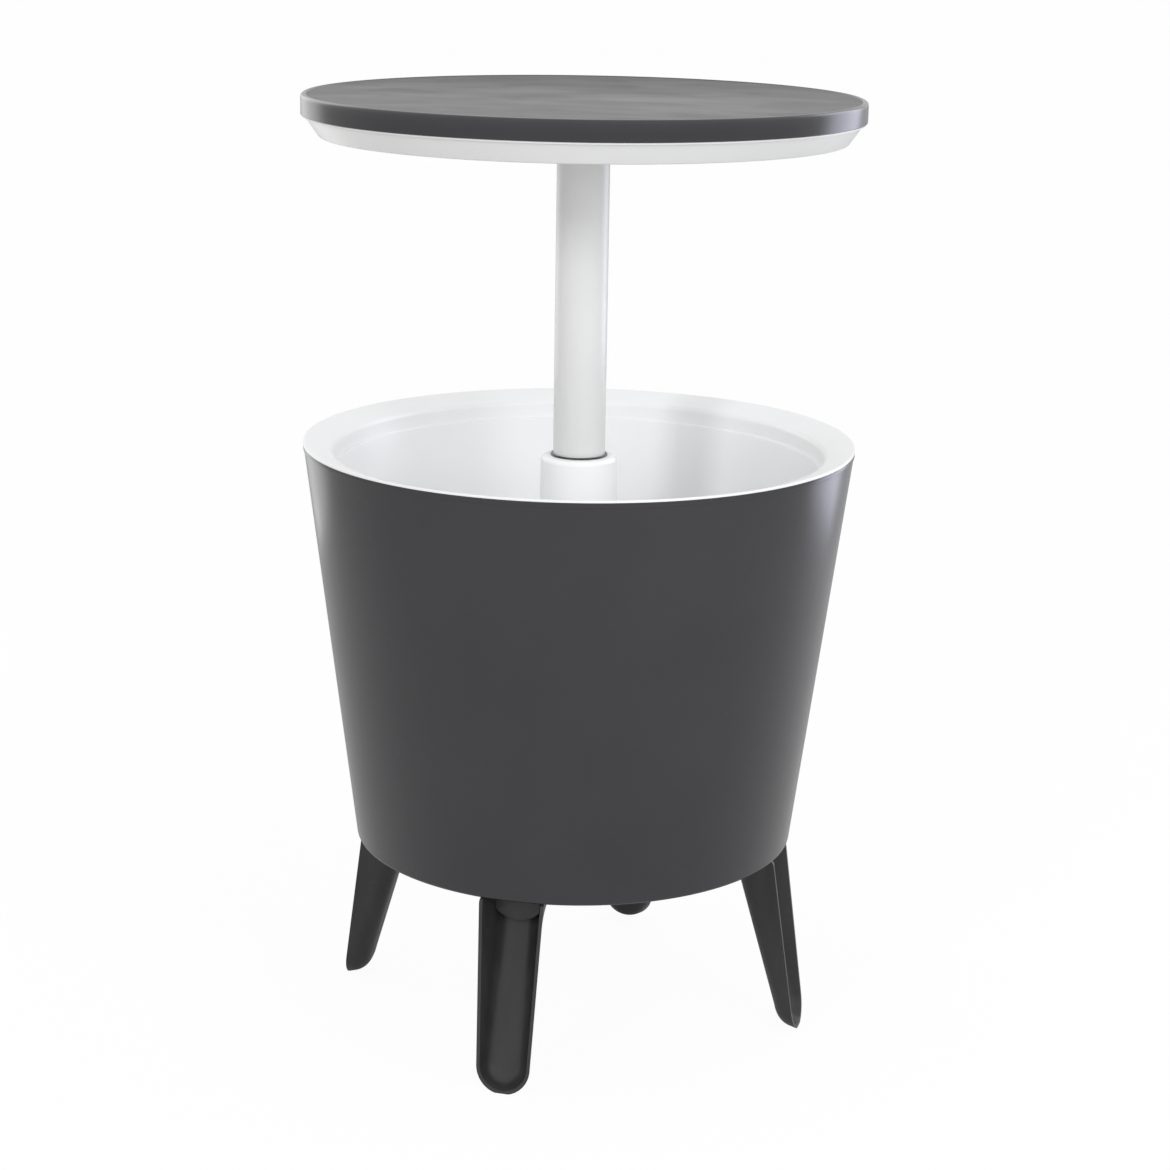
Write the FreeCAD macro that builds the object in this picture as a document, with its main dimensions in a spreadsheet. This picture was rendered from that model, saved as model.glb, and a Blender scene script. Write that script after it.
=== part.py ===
import FreeCAD, Part
import math
import os

from FreeCAD import Placement, Rotation, Vector

# Cooler table: a round insulated tub on four channel legs, with a table top on a
# pole that lifts out of the tub's hollow column and turns to lock. The model is in
# millimetres, +Z up, with its origin on the ground under the middle of the tub.

document = FreeCAD.newDocument("CoolerTable")
sheet = document.addObject("Spreadsheet::Sheet", "Size")

DRIVING_SIZES = [
    ("table_radius", 247.5, "table top, centre to edge"),
    ("table_height", 850, "ground to the lip of the raised table top"),
    ("table_band", 18, "height of the dark edge band"),
    ("table_skin", 3.1, "thickness of the top skin"),
    ("table_wall", 3, "thickness of the edge band"),
    ("band_round", 0.8, "rounding of the band's lower edge"),
    ("lip_width", 4, "raised lip round the top"),
    ("lip_height", 1.6, "lip above the top face"),
    ("lip_round", 1.5, "rounding of the lip's outer edge"),
    ("lip_slope", 0.6, "width of the lip's inner slope"),
    ("seat_lip", 1.6, "white lip that the band stands on"),
    ("seat_inset", 1.3, "white lip behind the band's face"),
    ("dish_inset", 3.5, "top of the white dish behind the band's face"),
    ("dish_taper", 12, "how far the dish draws in to its bottom"),
    ("dish_depth", 16.9, "height of the dish's sloped side"),
    ("dish_wall", 3, "wall of the dish"),
    ("dish_round", 2.5, "rounding of the dish's bottom edge"),
    ("collar_height", 4, "collar round the pole under the dish"),
    ("collar_width", 4, "collar's wall at the dish"),
    ("collar_tip", 1.7, "collar's wall at its end"),
    ("rib_count", 12, "ribs inside the dish"),
    ("rib_thick", 2, "thickness of a rib"),
    ("rib_start", 4, "rib beyond the hub's flange"),
    ("rib_height", 14, "height of a rib above the dish's floor"),
    ("lid_screw_circle", 205, "radius of the table top's screw circle"),
    ("lid_screw_count", 8, "screws that hold the table top"),
    ("hub_radius", 60, "flange of the pole hub"),
    ("hub_flange", 4, "thickness of the hub's flange"),
    ("hub_wall", 5.5, "wall of the hub's socket"),
    ("hub_cap", 3, "closed end of the hub's socket"),
    ("hub_boss", 6, "height of the hub's screw bosses"),
    ("hub_fillet", 4, "fillet between a tube and its flange"),
    ("cross_height", 13.5, "cross screws above the hub's underside"),
    ("cross_length", 11, "shank of a cross screw"),
    ("cross_count", 2, "screws across the pole"),
    ("hub_screw_circle", 44, "radius of the hub's screw circle"),
    ("hub_screw_count", 4, "screws that hold the hub"),
    ("pole_radius", 23.5, "outside of the pole"),
    ("pole_wall", 2.5, "wall of the pole"),
    ("press_gap", 0.1, "gap of a pressed or tapped fit"),
    ("slide_gap", 0.5, "pole to guide sleeve"),
    ("touch_gap", 0.3, "gap between faces that rest or turn on each other"),
    ("twist_angle", 30, "turn that locks the table"),
    ("foot_height", 12, "height of the foot's collar and lugs"),
    ("foot_plug", 25, "foot's plug inside the pole"),
    ("foot_hollow", 16, "radius of the hollow in the foot's plug"),
    ("foot_screw_length", 19, "shank of the foot screw"),
    ("lug_count", 2, "lugs on the foot and keys on the runner"),
    ("lug_reach", 4.1, "lug beyond the pole's face"),
    ("lug_angle", 18, "width of a lug in degrees"),
    ("groove_play", 1.2, "groove beyond the lug on each side in degrees"),
    ("runner_height", 12, "height of the foot runner"),
    ("spigot_radius", 12, "spigot that the runner turns on"),
    ("tooth_inner", 15.5, "inner radius of the foot's stop tooth"),
    ("tooth_outer", 20, "outer radius of the foot's stop tooth"),
    ("tooth_angle", 16, "width of the stop tooth in degrees"),
    ("tooth_depth", 3.5, "height of the stop tooth"),
    ("tooth_play", 1, "recess beyond the tooth's travel in degrees"),
    ("washer_radius", 18, "foot washer"),
    ("washer_thick", 1.5, "thickness of the foot washer"),
    ("foot_clearance", 3.5, "foot screw above the floor with the table closed"),
    ("leg_height", 171.5, "ground to the body's underside"),
    ("body_height", 371.9, "body's underside to the white rim"),
    ("rim_radius", 248.4, "body at the rim"),
    ("base_radius", 201.5, "body at its underside"),
    ("shell_wall", 3, "wall of the outer shell"),
    ("floor_thick", 3, "floor of the outer shell"),
    ("base_round", 4, "rounding of the shell's bottom edge"),
    ("shell_band", 4.6, "band round the shell's top edge"),
    ("band_inset", 0.2, "band behind the white rim's face"),
    ("band_chamfer", 0.5, "chamfer on the band's top edge"),
    ("rim_edge", 2.4, "height of the white rim's edge"),
    ("rim_land", 1.9, "flat top of the white rim"),
    ("rim_round", 0.8, "rounding of the rim's edge"),
    ("flange_width", 27, "sloped flange inside the rim"),
    ("flange_drop", 8.4, "fall of the flange towards the tub"),
    ("tub_wall", 3, "wall of the tub"),
    ("skirt_depth", 10, "skirt that centres the tub in the shell"),
    ("skirt_wall", 2.4, "wall of the skirt"),
    ("ledge_depth", 15, "flange's inner edge to the ledge below it"),
    ("ledge_width", 2.3, "width of the ledge"),
    ("tub_draft", 0.121, "inward slope of the tub's wall above the ledge"),
    ("tub_floor_height", 65.5, "tub floor's top above the shell's floor"),
    ("tub_floor_inset", 26.73, "tub's wall at its floor, inside the shell's face"),
    ("tub_round", 14, "rounding between the tub's wall and floor"),
    ("column_radius", 34.5, "column in the tub, at its top"),
    ("column_spread", 2.5, "how much wider the column is at the floor"),
    ("column_drop", 14.2, "rim to the column's top"),
    ("column_round", 5, "rounding of the column's top edge"),
    ("column_fillet", 6, "fillet between the column and its foot flange"),
    ("column_flange", 9, "foot flange round the column"),
    ("column_flange_thick", 2.5, "thickness of the column's foot flange"),
    ("sleeve_wall", 7, "wall of the guide sleeve"),
    ("sleeve_flange", 60, "radius of the sleeve's base flange"),
    ("sleeve_flange_thick", 4, "thickness of the sleeve's base flange"),
    ("sleeve_screw_circle", 48, "radius of the sleeve's screw circle"),
    ("sleeve_screw_count", 4, "screws that hold the sleeve"),
    ("vent_radius", 12, "air hole under the pole"),
    ("ring_height", 2.6, "visible height of the dark ring"),
    ("ring_reach", 3, "dark ring beyond the pole's face"),
    ("ring_step", 1, "ring's flange beyond its spigot"),
    ("ring_spigot", 6, "depth of the ring's spigot"),
    ("ring_round", 0.6, "rounding of the ring's edge"),
    ("leg_count", 4, "legs"),
    ("leg_top_radius", 197.5, "leg's open front at the body"),
    ("leg_toe_radius", 221.7, "leg's open front at the ground"),
    ("leg_top_back", 154.4, "leg's back at the body"),
    ("leg_toe_back", 205.8, "leg's back at the ground"),
    ("leg_top_half", 29.5, "half the width of the leg's front at the body"),
    ("toe_round", 25.5, "radius of the leg's rounded end"),
    ("toe_flat", 0.8, "depth cut flat where the toe stands"),
    ("leg_draft", 15, "inward slope of the leg's sides in degrees"),
    ("leg_corner", 19, "rounding of the leg's back corners"),
    ("leg_wall", 3, "wall of the leg"),
    ("leg_brow", 6, "rounding of the front's top corner"),
    ("leg_plate", 3, "thickness of the leg's mounting plate"),
    ("leg_plate_in", 122, "inner end of the mounting plate"),
    ("leg_plate_out", 184, "outer end of the mounting plate"),
    ("leg_plate_half", 44, "half the width of the mounting plate"),
    ("plate_corner", 14, "rounding of the mounting plate's corners"),
    ("blank_extra", 10, "leg's blank beyond the finished leg"),
    ("blank_middle", 12, "half the width of the blank's core"),
    ("leg_screw_radius", 133, "leg screws from the middle of the table"),
    ("leg_screw_side", 27, "leg screws to the side of the leg's middle"),
    ("plug_front", 171, "face of the socket's plug in the leg"),
    ("plug_drop", 26, "plug below the body's underside"),
    ("plug_round", 24, "radius of the plug's rounded end"),
    ("plug_play", 0.5, "slot in the shell's floor beyond the plug"),
    ("socket_in", 102, "inner end of the socket's base"),
    ("socket_out", 190, "outer end of the socket's base"),
    ("socket_half", 35, "half the width of the socket's base"),
    ("socket_corner", 8, "rounding of the socket's base"),
    ("socket_base", 4, "thickness of the socket's base"),
    ("tower_in", 118, "inner end of the socket's tower"),
    ("tower_out", 166, "outer end of the socket's tower"),
    ("tower_half", 20, "half the width of the socket's tower"),
    ("tower_wall", 3.5, "walls of the socket's tower"),
    ("socket_screw_radius", 110, "socket screws from the middle of the table"),
    ("socket_screw_side", 14, "socket screws to the side of the leg's middle"),
    ("drain_circle", 120, "drain from the middle of the table"),
    ("drain_angle", 45, "direction of the drain in degrees"),
    ("drain_bore", 10, "bore of the drain"),
    ("drain_wall", 2.5, "wall of the drain spigot"),
    ("drain_flange", 20, "radius of the spigot's flange"),
    ("drain_below", 8, "spigot below the body's underside"),
    ("drain_flange_thick", 2.5, "thickness of the spigot's flange"),
    ("nut_height", 9, "height of the drain nut"),
    ("nut_flats", 34, "drain nut across its flats"),
    ("gasket_thick", 2, "thickness of the drain gasket"),
    ("stopper_length", 24, "stopper inside the drain"),
    ("stopper_play", 0.2, "stopper to the drain's bore"),
    ("cap_radius", 15, "stopper's cap"),
    ("cap_thick", 4, "thickness of the stopper's cap"),
    ("grip_height", 9, "height of the stopper's grip"),
    ("grip_half", 2.5, "half the thickness of the stopper's grip"),
    ("grip_inset", 2, "grip's ends behind the cap's edge"),
    ("seal_height", 14.5, "seal above the drain's lower end"),
    ("seal_thick", 1.15, "radius of the seal's section"),
    ("screw_radius", 1.9, "shank of every screw"),
    ("screw_head", 4, "radius of a screw head"),
    ("head_height", 2.4, "height of a screw head"),
    ("head_taper", 0.8, "how far a screw head draws in"),
    ("slot_depth", 1.2, "depth of the cross in a screw head"),
    ("slot_half", 0.5, "half the width of the cross"),
    ("slot_reach", 2.2, "reach of the cross from the screw's axis"),
    ("tip_length", 2, "length of a screw's tip"),
    ("tip_radius", 0.4, "end of a screw's tip"),
    ("hole_play", 0.3, "screw hole beyond the shank"),
    ("head_play", 0.6, "counterbore beyond a screw head"),
    ("boss_radius", 5.5, "screw boss"),
    ("boss_wall", 1.6, "wall of a counterbored boss"),
    ("boss_height", 8, "screw boss above a flange"),
    ("screw_length", 14, "shank of a body screw"),
    ("lid_boss", 9, "length of the screw bosses under the top"),
    ("lid_seat", 11.5, "seat of the lid screws above the dish's floor"),
]

for row, (alias, value, note) in enumerate(DRIVING_SIZES, 1):
    sheet.set(f"A{row}", alias)
    sheet.set(f"B{row}", str(value))
    sheet.set(f"C{row}", note)
    sheet.setAlias(f"B{row}", alias)
document.recompute()

# Heights and radii that follow from the driving sizes, written as expressions.

top_face = "(Size.table_height - Size.lip_height)"
skin_under = f"({top_face} - Size.table_skin)"
band_bottom = "(Size.table_height - Size.table_band)"
dish_top = f"({band_bottom} - Size.seat_lip)"
dish_bottom = f"({dish_top} - Size.dish_depth)"
dish_floor = f"({dish_bottom} + Size.dish_wall)"
dish_top_radius = "(Size.table_radius - Size.dish_inset)"
dish_bottom_radius = f"({dish_top_radius} - Size.dish_taper)"
dish_skirt = "(Size.table_radius - Size.table_wall - Size.touch_gap)"
boss_split = f"({skin_under} - Size.lid_boss)"
lid_head_seat = f"({dish_floor} + Size.lid_seat)"
hub_top = f"({skin_under} - Size.touch_gap)"
hub_bore = "(Size.pole_radius + Size.press_gap)"
hub_outer = f"({hub_bore} + Size.hub_wall)"
cross_height = f"({dish_floor} + Size.cross_height)"

rim_height = "(Size.leg_height + Size.body_height)"
floor_top = "(Size.leg_height + Size.floor_thick)"
shell_top = f"({rim_height} - Size.rim_edge)"
wall_slope = "((Size.rim_radius - Size.base_radius) / Size.body_height)"


def shell_radius(height):
    """Outside of the shell at a height."""
    return f"(Size.base_radius + {wall_slope} * ({height} - Size.leg_height))"


flange_radius = "(Size.rim_radius - Size.flange_width)"
flange_height = f"({rim_height} - Size.flange_drop)"
flange_slope = "(Size.flange_drop / (Size.flange_width - Size.rim_land))"
ledge_height = f"({flange_height} - Size.ledge_depth)"
ledge_radius = f"({flange_radius} - Size.tub_draft * Size.ledge_depth)"
tub_top_radius = f"({ledge_radius} - Size.ledge_width)"
tub_floor = f"({floor_top} + Size.tub_floor_height)"
tub_under = f"({tub_floor} - Size.tub_wall)"
tub_floor_radius = f"({shell_radius(tub_floor)} - Size.tub_floor_inset)"
column_top = f"({rim_height} - Size.column_drop)"
column_foot = "(Size.column_radius + Size.column_spread)"
skirt_bottom = f"({shell_top} - Size.skirt_depth)"
skirt_radius = f"({shell_radius(skirt_bottom)} - Size.shell_wall - Size.touch_gap)"

sleeve_bore = "(Size.pole_radius + Size.slide_gap)"
sleeve_radius = f"({sleeve_bore} + Size.sleeve_wall)"
sleeve_top = f"({column_top} - Size.tub_wall)"
ring_bore = "(Size.pole_radius + Size.touch_gap)"
ring_radius = "(Size.pole_radius + Size.ring_reach)"
ring_seat = f"({ring_radius} - Size.ring_step)"
ring_bottom = f"({column_top} - Size.ring_spigot)"
ring_top = f"({column_top} + Size.ring_height)"
shoulder_hole = f"({ring_seat} + Size.press_gap)"

# The closed table's dish rests on the sloped flange, one touch gap short of it.
flange_cosine = f"cos(atan({flange_slope}))"
side_angle = "atan(Size.dish_depth / Size.dish_taper)"
rest_radius = f"({dish_bottom_radius} - Size.dish_round * tan({side_angle} / 2))"
rest_height = f"({flange_height} + ({rest_radius} - {flange_radius}) * {flange_slope})"
lift_travel = (
    f"({dish_bottom} + Size.dish_round - {rest_height}"
    f" - (Size.dish_round + Size.touch_gap) / {flange_cosine})"
)

# Stack of parts at the pole's foot with the table raised, from the screw head up.
screw_under = f"({floor_top} + Size.foot_clearance + {lift_travel})"
washer_under = f"({screw_under} + Size.head_height)"
spigot_end = f"({washer_under} + Size.washer_thick)"
runner_under = f"({spigot_end} + Size.touch_gap)"
runner_top = f"({runner_under} + Size.runner_height)"
foot_under = f"({runner_top} + Size.touch_gap)"
foot_top = f"({foot_under} + Size.foot_height)"
pole_top = f"({hub_top} - Size.hub_cap)"
pole_bore = "(Size.pole_radius - Size.pole_wall)"
lug_radius = "(Size.pole_radius + Size.lug_reach)"
groove_radius = f"({lug_radius} + Size.touch_gap)"
groove_angle = "(Size.lug_angle + 2 * Size.groove_play)"
groove_top = f"({foot_top} + Size.touch_gap)"
runner_radius = "(Size.pole_radius - Size.press_gap)"

# Leg: its front leans out and its back leans out further, so it thins to the toe.
draft_tangent = "tan(Size.leg_draft)"
draft_cosine = "cos(Size.leg_draft)"
back_slope = "((Size.leg_toe_back - Size.leg_top_back) / Size.leg_height)"
toe_centre = "(Size.toe_round - Size.toe_flat)"
toe_rise = f"(Size.leg_height - {toe_centre})"
toe_at_top = f"(Size.toe_round - (Size.leg_toe_radius - Size.leg_top_radius) * {draft_tangent})"
side_lean = (
    f"(acos({toe_at_top} / sqrt(Size.leg_top_half ^ 2 + {toe_rise} ^ 2))"
    f" - atan({toe_rise} / Size.leg_top_half))"
)
plate_under = "(Size.leg_height - Size.leg_plate)"
blank_top = "(Size.leg_height + Size.blank_extra)"

drain_x = "(Size.drain_circle * cos(Size.drain_angle))"
drain_y = "(Size.drain_circle * sin(Size.drain_angle))"
drain_radius = "(Size.drain_bore + Size.drain_wall)"
drain_hole = f"({drain_radius} + Size.touch_gap)"
drain_end = "(Size.leg_height - Size.drain_below)"

screw_hole = "(Size.screw_radius + Size.hole_play)"
thread_hole = "(Size.screw_radius + Size.press_gap)"
head_hole = "(Size.screw_head + Size.head_play)"

ALONG_X = Rotation(Vector(0, 1, 0), 90)
FACING_Y = Rotation(Vector(1, 0, 0), 90)
UPSIDE_DOWN = Rotation(Vector(1, 0, 0), 180)


def number(expression):
    """Value of an expression, in millimetres or degrees."""
    value = sheet.evalExpression(expression)
    return float(getattr(value, "Value", value))


def bind(thing, **sizes):
    """Ties properties of a document object to expressions."""
    for name, expression in sizes.items():
        thing.setExpression(name, expression)
    return thing


def move(thing, x="0", y="0", z="0", rotation=Rotation()):
    """Gives an object its place, with a fixed rotation."""
    thing.Placement = Placement(Vector(), rotation)
    for axis, expression in zip("xyz", (x, y, z)):
        thing.setExpression(f"Placement.Base.{axis}", expression)
    return thing


def turn(thing, angle, x="0", y="0", z="0"):
    """Gives an object its place, turned about the vertical by an angle."""
    move(thing, x, y, z, Rotation(Vector(0, 0, 1), 1))
    thing.setExpression("Placement.Rotation.Angle", angle)
    return thing


def cylinder(radius, low, high, x="0", y="0"):
    """Upright cylinder between two heights."""
    thing = document.addObject("Part::Cylinder", "Cylinder")
    bind(thing, Radius=radius, Height=f"({high}) - ({low})")
    return move(thing, x, y, low)


def cone(low_radius, high_radius, low, high, x="0", y="0"):
    """Upright cone between two heights."""
    thing = document.addObject("Part::Cone", "Cone")
    bind(thing, Radius1=low_radius, Radius2=high_radius, Height=f"({high}) - ({low})")
    return move(thing, x, y, low)


def box(x_low, x_high, half_width, low, high):
    """Box between two distances along X, even about the XZ plane."""
    thing = document.addObject("Part::Box", "Box")
    bind(
        thing,
        Length=f"({x_high}) - ({x_low})",
        Width=f"2 * ({half_width})",
        Height=f"({high}) - ({low})",
    )
    return move(thing, x_low, f"-({half_width})", low)


def fuse(*things):
    thing = document.addObject("Part::MultiFuse", "Fuse")
    thing.Shapes = list(things)
    return thing


def common(*things):
    thing = document.addObject("Part::MultiCommon", "Common")
    thing.Shapes = list(things)
    return thing


def cut(base, *tools):
    thing = document.addObject("Part::Cut", "Cut")
    thing.Base = base
    thing.Tool = tools[0] if len(tools) == 1 else fuse(*tools)
    return thing


def group(*things):
    """Several objects as one, with a placement of its own."""
    thing = document.addObject("Part::Compound", "Group")
    thing.Links = list(things)
    return thing


def ring_of(thing, count, radius="0", start="0"):
    """Copies of an upright object round the vertical axis, each turned outwards."""
    copies = []
    for index in range(round(number(count))):
        angle = f"({start} + {index} * 360 / {count})"
        copy = group(thing)
        turn(copy, angle, f"{radius} * cos({angle})", f"{radius} * sin({angle})")
        copies.append(copy)
    return copies


def wedge(radius, low, high, start, sweep):
    """Part of an upright cylinder, from a start angle through a sweep."""
    thing = document.addObject("Part::Cylinder", "Wedge")
    bind(thing, Radius=radius, Height=f"({high}) - ({low})", Angle=sweep)
    return turn(thing, start, z=low)


def sector(inner, outer, low, high, start, sweep):
    """Part of an upright ring, from a start angle through a sweep."""
    whole = wedge(outer, low, high, start, sweep)
    return cut(whole, cylinder(inner, f"({low} - 1)", f"({high} + 1)"))


def pin_point(sketch, geometry, end, x, y):
    """Holds one point of a sketch at two distances from its origin."""
    for kind, axis, expression in (("DistanceX", -2, x), ("DistanceY", -1, y)):
        value = number(expression)
        if abs(value) < 1e-7:
            sketch.addConstraint(Sketcher.Constraint("PointOnObject", geometry, end, axis))
            continue
        if value > 0:
            places = (-1, 1, geometry, end)
        else:
            places = (geometry, end, -1, 1)
            expression = f"-({expression})"
        index = sketch.addConstraint(Sketcher.Constraint(kind, *places, abs(value)))
        sketch.renameConstraint(index, f"{kind}{index}")
        sketch.setExpression(f"Constraints.{kind}{index}", expression)


def pin_radius(sketch, geometry, expression):
    index = sketch.addConstraint(Sketcher.Constraint("Radius", geometry, number(expression)))
    sketch.renameConstraint(index, f"Radius{index}")
    sketch.setExpression(f"Constraints.Radius{index}", expression)


def arc_through(first, last, centre, radius, left_turn):
    """Arc from first to last, and which of its ends each of them is."""
    angles = [math.atan2(point.y - centre.y, point.x - centre.x) for point in (first, last)]
    start, end = angles if left_turn else reversed(angles)
    if end < start:
        end += 2 * math.pi
    circle = Part.Circle(centre, Vector(0, 0, 1), radius)
    return Part.ArcOfCircle(circle, start, end), (1, 2) if left_turn else (2, 1)


def outline(sketch, corners):
    """Closed outline through corners (x, y), or (x, y, radius) for a rounded one."""
    points = [Vector(number(corner[0]), number(corner[1]), 0) for corner in corners]
    count = len(points)
    starts = list(points)
    ends = list(points)
    arcs = {}
    for index, corner in enumerate(corners):
        if len(corner) == 3:
            point = points[index]
            radius = number(corner[2])
            back = (points[index - 1] - point).normalize()
            on = (points[(index + 1) % count] - point).normalize()
            half = back.getAngle(on) / 2
            ends[index] = point + back * (radius / math.tan(half))
            starts[index] = point + on * (radius / math.tan(half))
            centre = point + (back + on).normalize() * (radius / math.sin(half))
            left_turn = back.cross(on).z < 0
            arcs[index] = arc_through(ends[index], starts[index], centre, radius, left_turn)
    lines = []
    for index in range(count):
        line = Part.LineSegment(starts[index], ends[(index + 1) % count])
        lines.append(sketch.addGeometry(line, False))
    for index, corner in enumerate(corners):
        before = lines[index - 1]
        after = lines[index]
        if index in arcs:
            arc, (first, last) = arcs[index]
            arc_line = sketch.addGeometry(arc, False)
            mark = sketch.addGeometry(Part.Point(points[index]), True)
            pin_point(sketch, mark, 1, corner[0], corner[1])
            sketch.addConstraint(Sketcher.Constraint("PointOnObject", mark, 1, before))
            sketch.addConstraint(Sketcher.Constraint("PointOnObject", mark, 1, after))
            sketch.addConstraint(Sketcher.Constraint("Tangent", before, 2, arc_line, first))
            sketch.addConstraint(Sketcher.Constraint("Tangent", arc_line, last, after, 1))
            pin_radius(sketch, arc_line, corner[2])
        else:
            sketch.addConstraint(Sketcher.Constraint("Coincident", before, 2, after, 1))
            pin_point(sketch, after, 1, corner[0], corner[1])


def extruded(corners, length, x="0", y="0", z="0", rotation=Rotation()):
    """Outline pushed along its own normal."""
    sketch = document.addObject("Sketcher::SketchObject", "Sketch")
    move(sketch, x, y, z, rotation)
    outline(sketch, corners)
    thing = document.addObject("Part::Extrusion", "Extrusion")
    thing.Base = sketch
    thing.DirMode = "Normal"
    thing.Solid = True
    bind(thing, LengthFwd=length)
    document.recompute()
    return thing


def circles(sketch, rows):
    """Circles (x, y, radius) in a sketch."""
    for x, y, radius in rows:
        centre = Vector(number(x), number(y), 0)
        circle = Part.Circle(centre, Vector(0, 0, 1), number(radius))
        index = sketch.addGeometry(circle, False)
        pin_point(sketch, index, 3, x, y)
        pin_radius(sketch, index, radius)


def new_body(label):
    body = document.addObject("PartDesign::Body", "Body")
    body.Label = label
    return body


def sketch_in(body, role, height="0"):
    """Empty sketch on one of a body's own planes, or at a height above it."""
    sketch = body.newObject("Sketcher::SketchObject", "Sketch")
    plane = next(item for item in body.Origin.OriginFeatures if item.Role == role)
    sketch.AttachmentSupport = (plane, [""])
    sketch.MapMode = "FlatFace"
    sketch.setExpression("AttachmentOffset.Base.z", height)
    return sketch


def turned(label, corners):
    """Body turned about the vertical axis from corners (radius, height)."""
    body = new_body(label)
    sketch = sketch_in(body, "XZ_Plane")
    outline(sketch, corners)
    feature = body.newObject("PartDesign::Revolution", "Revolution")
    feature.Profile = sketch
    feature.ReferenceAxis = (sketch, ["V_Axis"])
    feature.Angle = 360
    document.recompute()
    return body


def drill(body, rows, low, high):
    """Round holes (x, y, radius) in a body between two heights."""
    sketch = sketch_in(body, "XY_Plane", high)
    circles(sketch, rows)
    feature = body.newObject("PartDesign::Pocket", "Pocket")
    feature.Profile = sketch
    before = body.Shape.Volume
    bind(feature, Length=f"({high}) - ({low})")
    document.recompute()
    assert body.Shape.Volume < before, body.Label


def pillars(body, rows, low, high):
    """Round bosses (x, y, radius) on a body between two heights."""
    sketch = sketch_in(body, "XY_Plane", low)
    circles(sketch, rows)
    feature = body.newObject("PartDesign::Pad", "Pad")
    feature.Profile = sketch
    bind(feature, Length=f"({high}) - ({low})")
    document.recompute()


def ring_rows(count, radius, size, start="0"):
    """Rows (x, y, radius) for circles spaced evenly round the axis."""
    rows = []
    for index in range(round(number(count))):
        angle = f"({start} + {index} * 360 / {count})"
        rows.append((f"{radius} * cos({angle})", f"{radius} * sin({angle})", size))
    return rows


def edges_where(thing, wanted):
    """Numbers of the edges of an object whose shape passes a test."""
    return [index for index, edge in enumerate(thing.Shape.Edges, 1) if wanted(edge)]


def fillet(thing, radius, wanted):
    feature = document.addObject("Part::Fillet", "Fillet")
    feature.Base = thing
    size = number(radius)
    feature.Edges = [(index, size, size) for index in edges_where(thing, wanted)]
    document.recompute()
    return feature


def screw(length, flush=False):
    """Screw with its seat at the origin and its shank down, and a pan or flush head."""
    if flush:
        head_top = "0"
        head_depth = "(Size.screw_head - Size.screw_radius)"
        head = cone("Size.screw_radius", "Size.screw_head", f"-{head_depth}", head_top)
    else:
        head_top = "Size.head_height"
        head = cone("Size.screw_head", "Size.screw_head - Size.head_taper", "0", head_top)
    shank_end = f"(Size.tip_length - {length})"
    shank = cylinder("Size.screw_radius", shank_end, "0")
    tip = cone("Size.tip_radius", "Size.screw_radius", f"-{length}", shank_end)
    slot_low = f"({head_top} - Size.slot_depth)"
    slot_high = f"({head_top} + 1)"
    slot = box("-Size.slot_reach", "Size.slot_reach", "Size.slot_half", slot_low, slot_high)
    cross = box("-Size.slot_half", "Size.slot_half", "Size.slot_reach", slot_low, slot_high)
    return cut(fuse(head, shank, tip), slot, cross)


def screws(length, seat, count, radius, start="0", flush=False):
    """Ring of screws driven upwards, with their heads below the seat."""
    single = move(group(screw(length, flush)), z=seat, rotation=UPSIDE_DOWN)
    return group(*ring_of(single, count, radius, start))


PARTS = {}


def keep(label, thing):
    """Names a finished sub-part and lists it for export."""
    thing.Label = label
    PARTS[label] = thing
    return thing


# Table top: one moulding, with a raised lip and bosses for the lid screws.

table_inner = "(Size.table_radius - Size.table_wall)"
lid_start = "(180 / Size.lid_screw_count)"
lid_ring = ("Size.lid_screw_count", "Size.lid_screw_circle")

table_top = keep("table_top", turned("table_top", [
    ("0", skin_under),
    (table_inner, skin_under),
    (table_inner, band_bottom),
    ("Size.table_radius", band_bottom, "Size.band_round"),
    ("Size.table_radius", "Size.table_height", "Size.lip_round"),
    ("Size.table_radius - Size.lip_width", "Size.table_height"),
    ("Size.table_radius - Size.lip_width - Size.lip_slope", top_face),
    ("0", top_face),
]))
pillars(table_top, ring_rows(*lid_ring, "Size.boss_radius", lid_start), boss_split, skin_under)
drill(table_top, ring_rows(*lid_ring, thread_hole, lid_start), boss_split, f"({skin_under} - 1)")

# Lid underside: white dish with a collar round the pole, a lip under the dark band
# and an upstand inside it.

collar_hole = "(Size.pole_radius + Size.touch_gap)"
collar_bottom = f"({dish_bottom} - Size.collar_height)"
dish_inner = f"({dish_top_radius} - Size.dish_wall)"
dish_boss_top = f"({boss_split} - Size.touch_gap)"
hub_ring = ("Size.hub_screw_count", "Size.hub_screw_circle")
hub_start = "(180 / Size.hub_screw_count)"

dish = turned("dish", [
    (collar_hole, collar_bottom),
    (f"({collar_hole} + Size.collar_tip)", collar_bottom),
    (f"({collar_hole} + Size.collar_width)", dish_bottom),
    (dish_bottom_radius, dish_bottom, "Size.dish_round"),
    (dish_top_radius, dish_top),
    ("Size.table_radius - Size.seat_inset", dish_top),
    ("Size.table_radius - Size.seat_inset", band_bottom),
    (dish_skirt, band_bottom),
    (dish_skirt, skin_under),
    (dish_inner, skin_under),
    (dish_inner, dish_top),
    (f"({dish_bottom_radius} - Size.dish_wall)", dish_floor),
    (collar_hole, dish_floor),
])
boss_rows = ring_rows(*lid_ring, f"({head_hole} + Size.boss_wall)", lid_start)
pillars(dish, boss_rows, dish_floor, dish_boss_top)
drill(dish, ring_rows(*lid_ring, screw_hole, lid_start), dish_bottom, dish_boss_top)
drill(dish, ring_rows(*lid_ring, head_hole, lid_start), dish_bottom, lid_head_seat)
drill(dish, ring_rows(*hub_ring, screw_hole, hub_start), dish_bottom, dish_floor)
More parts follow.
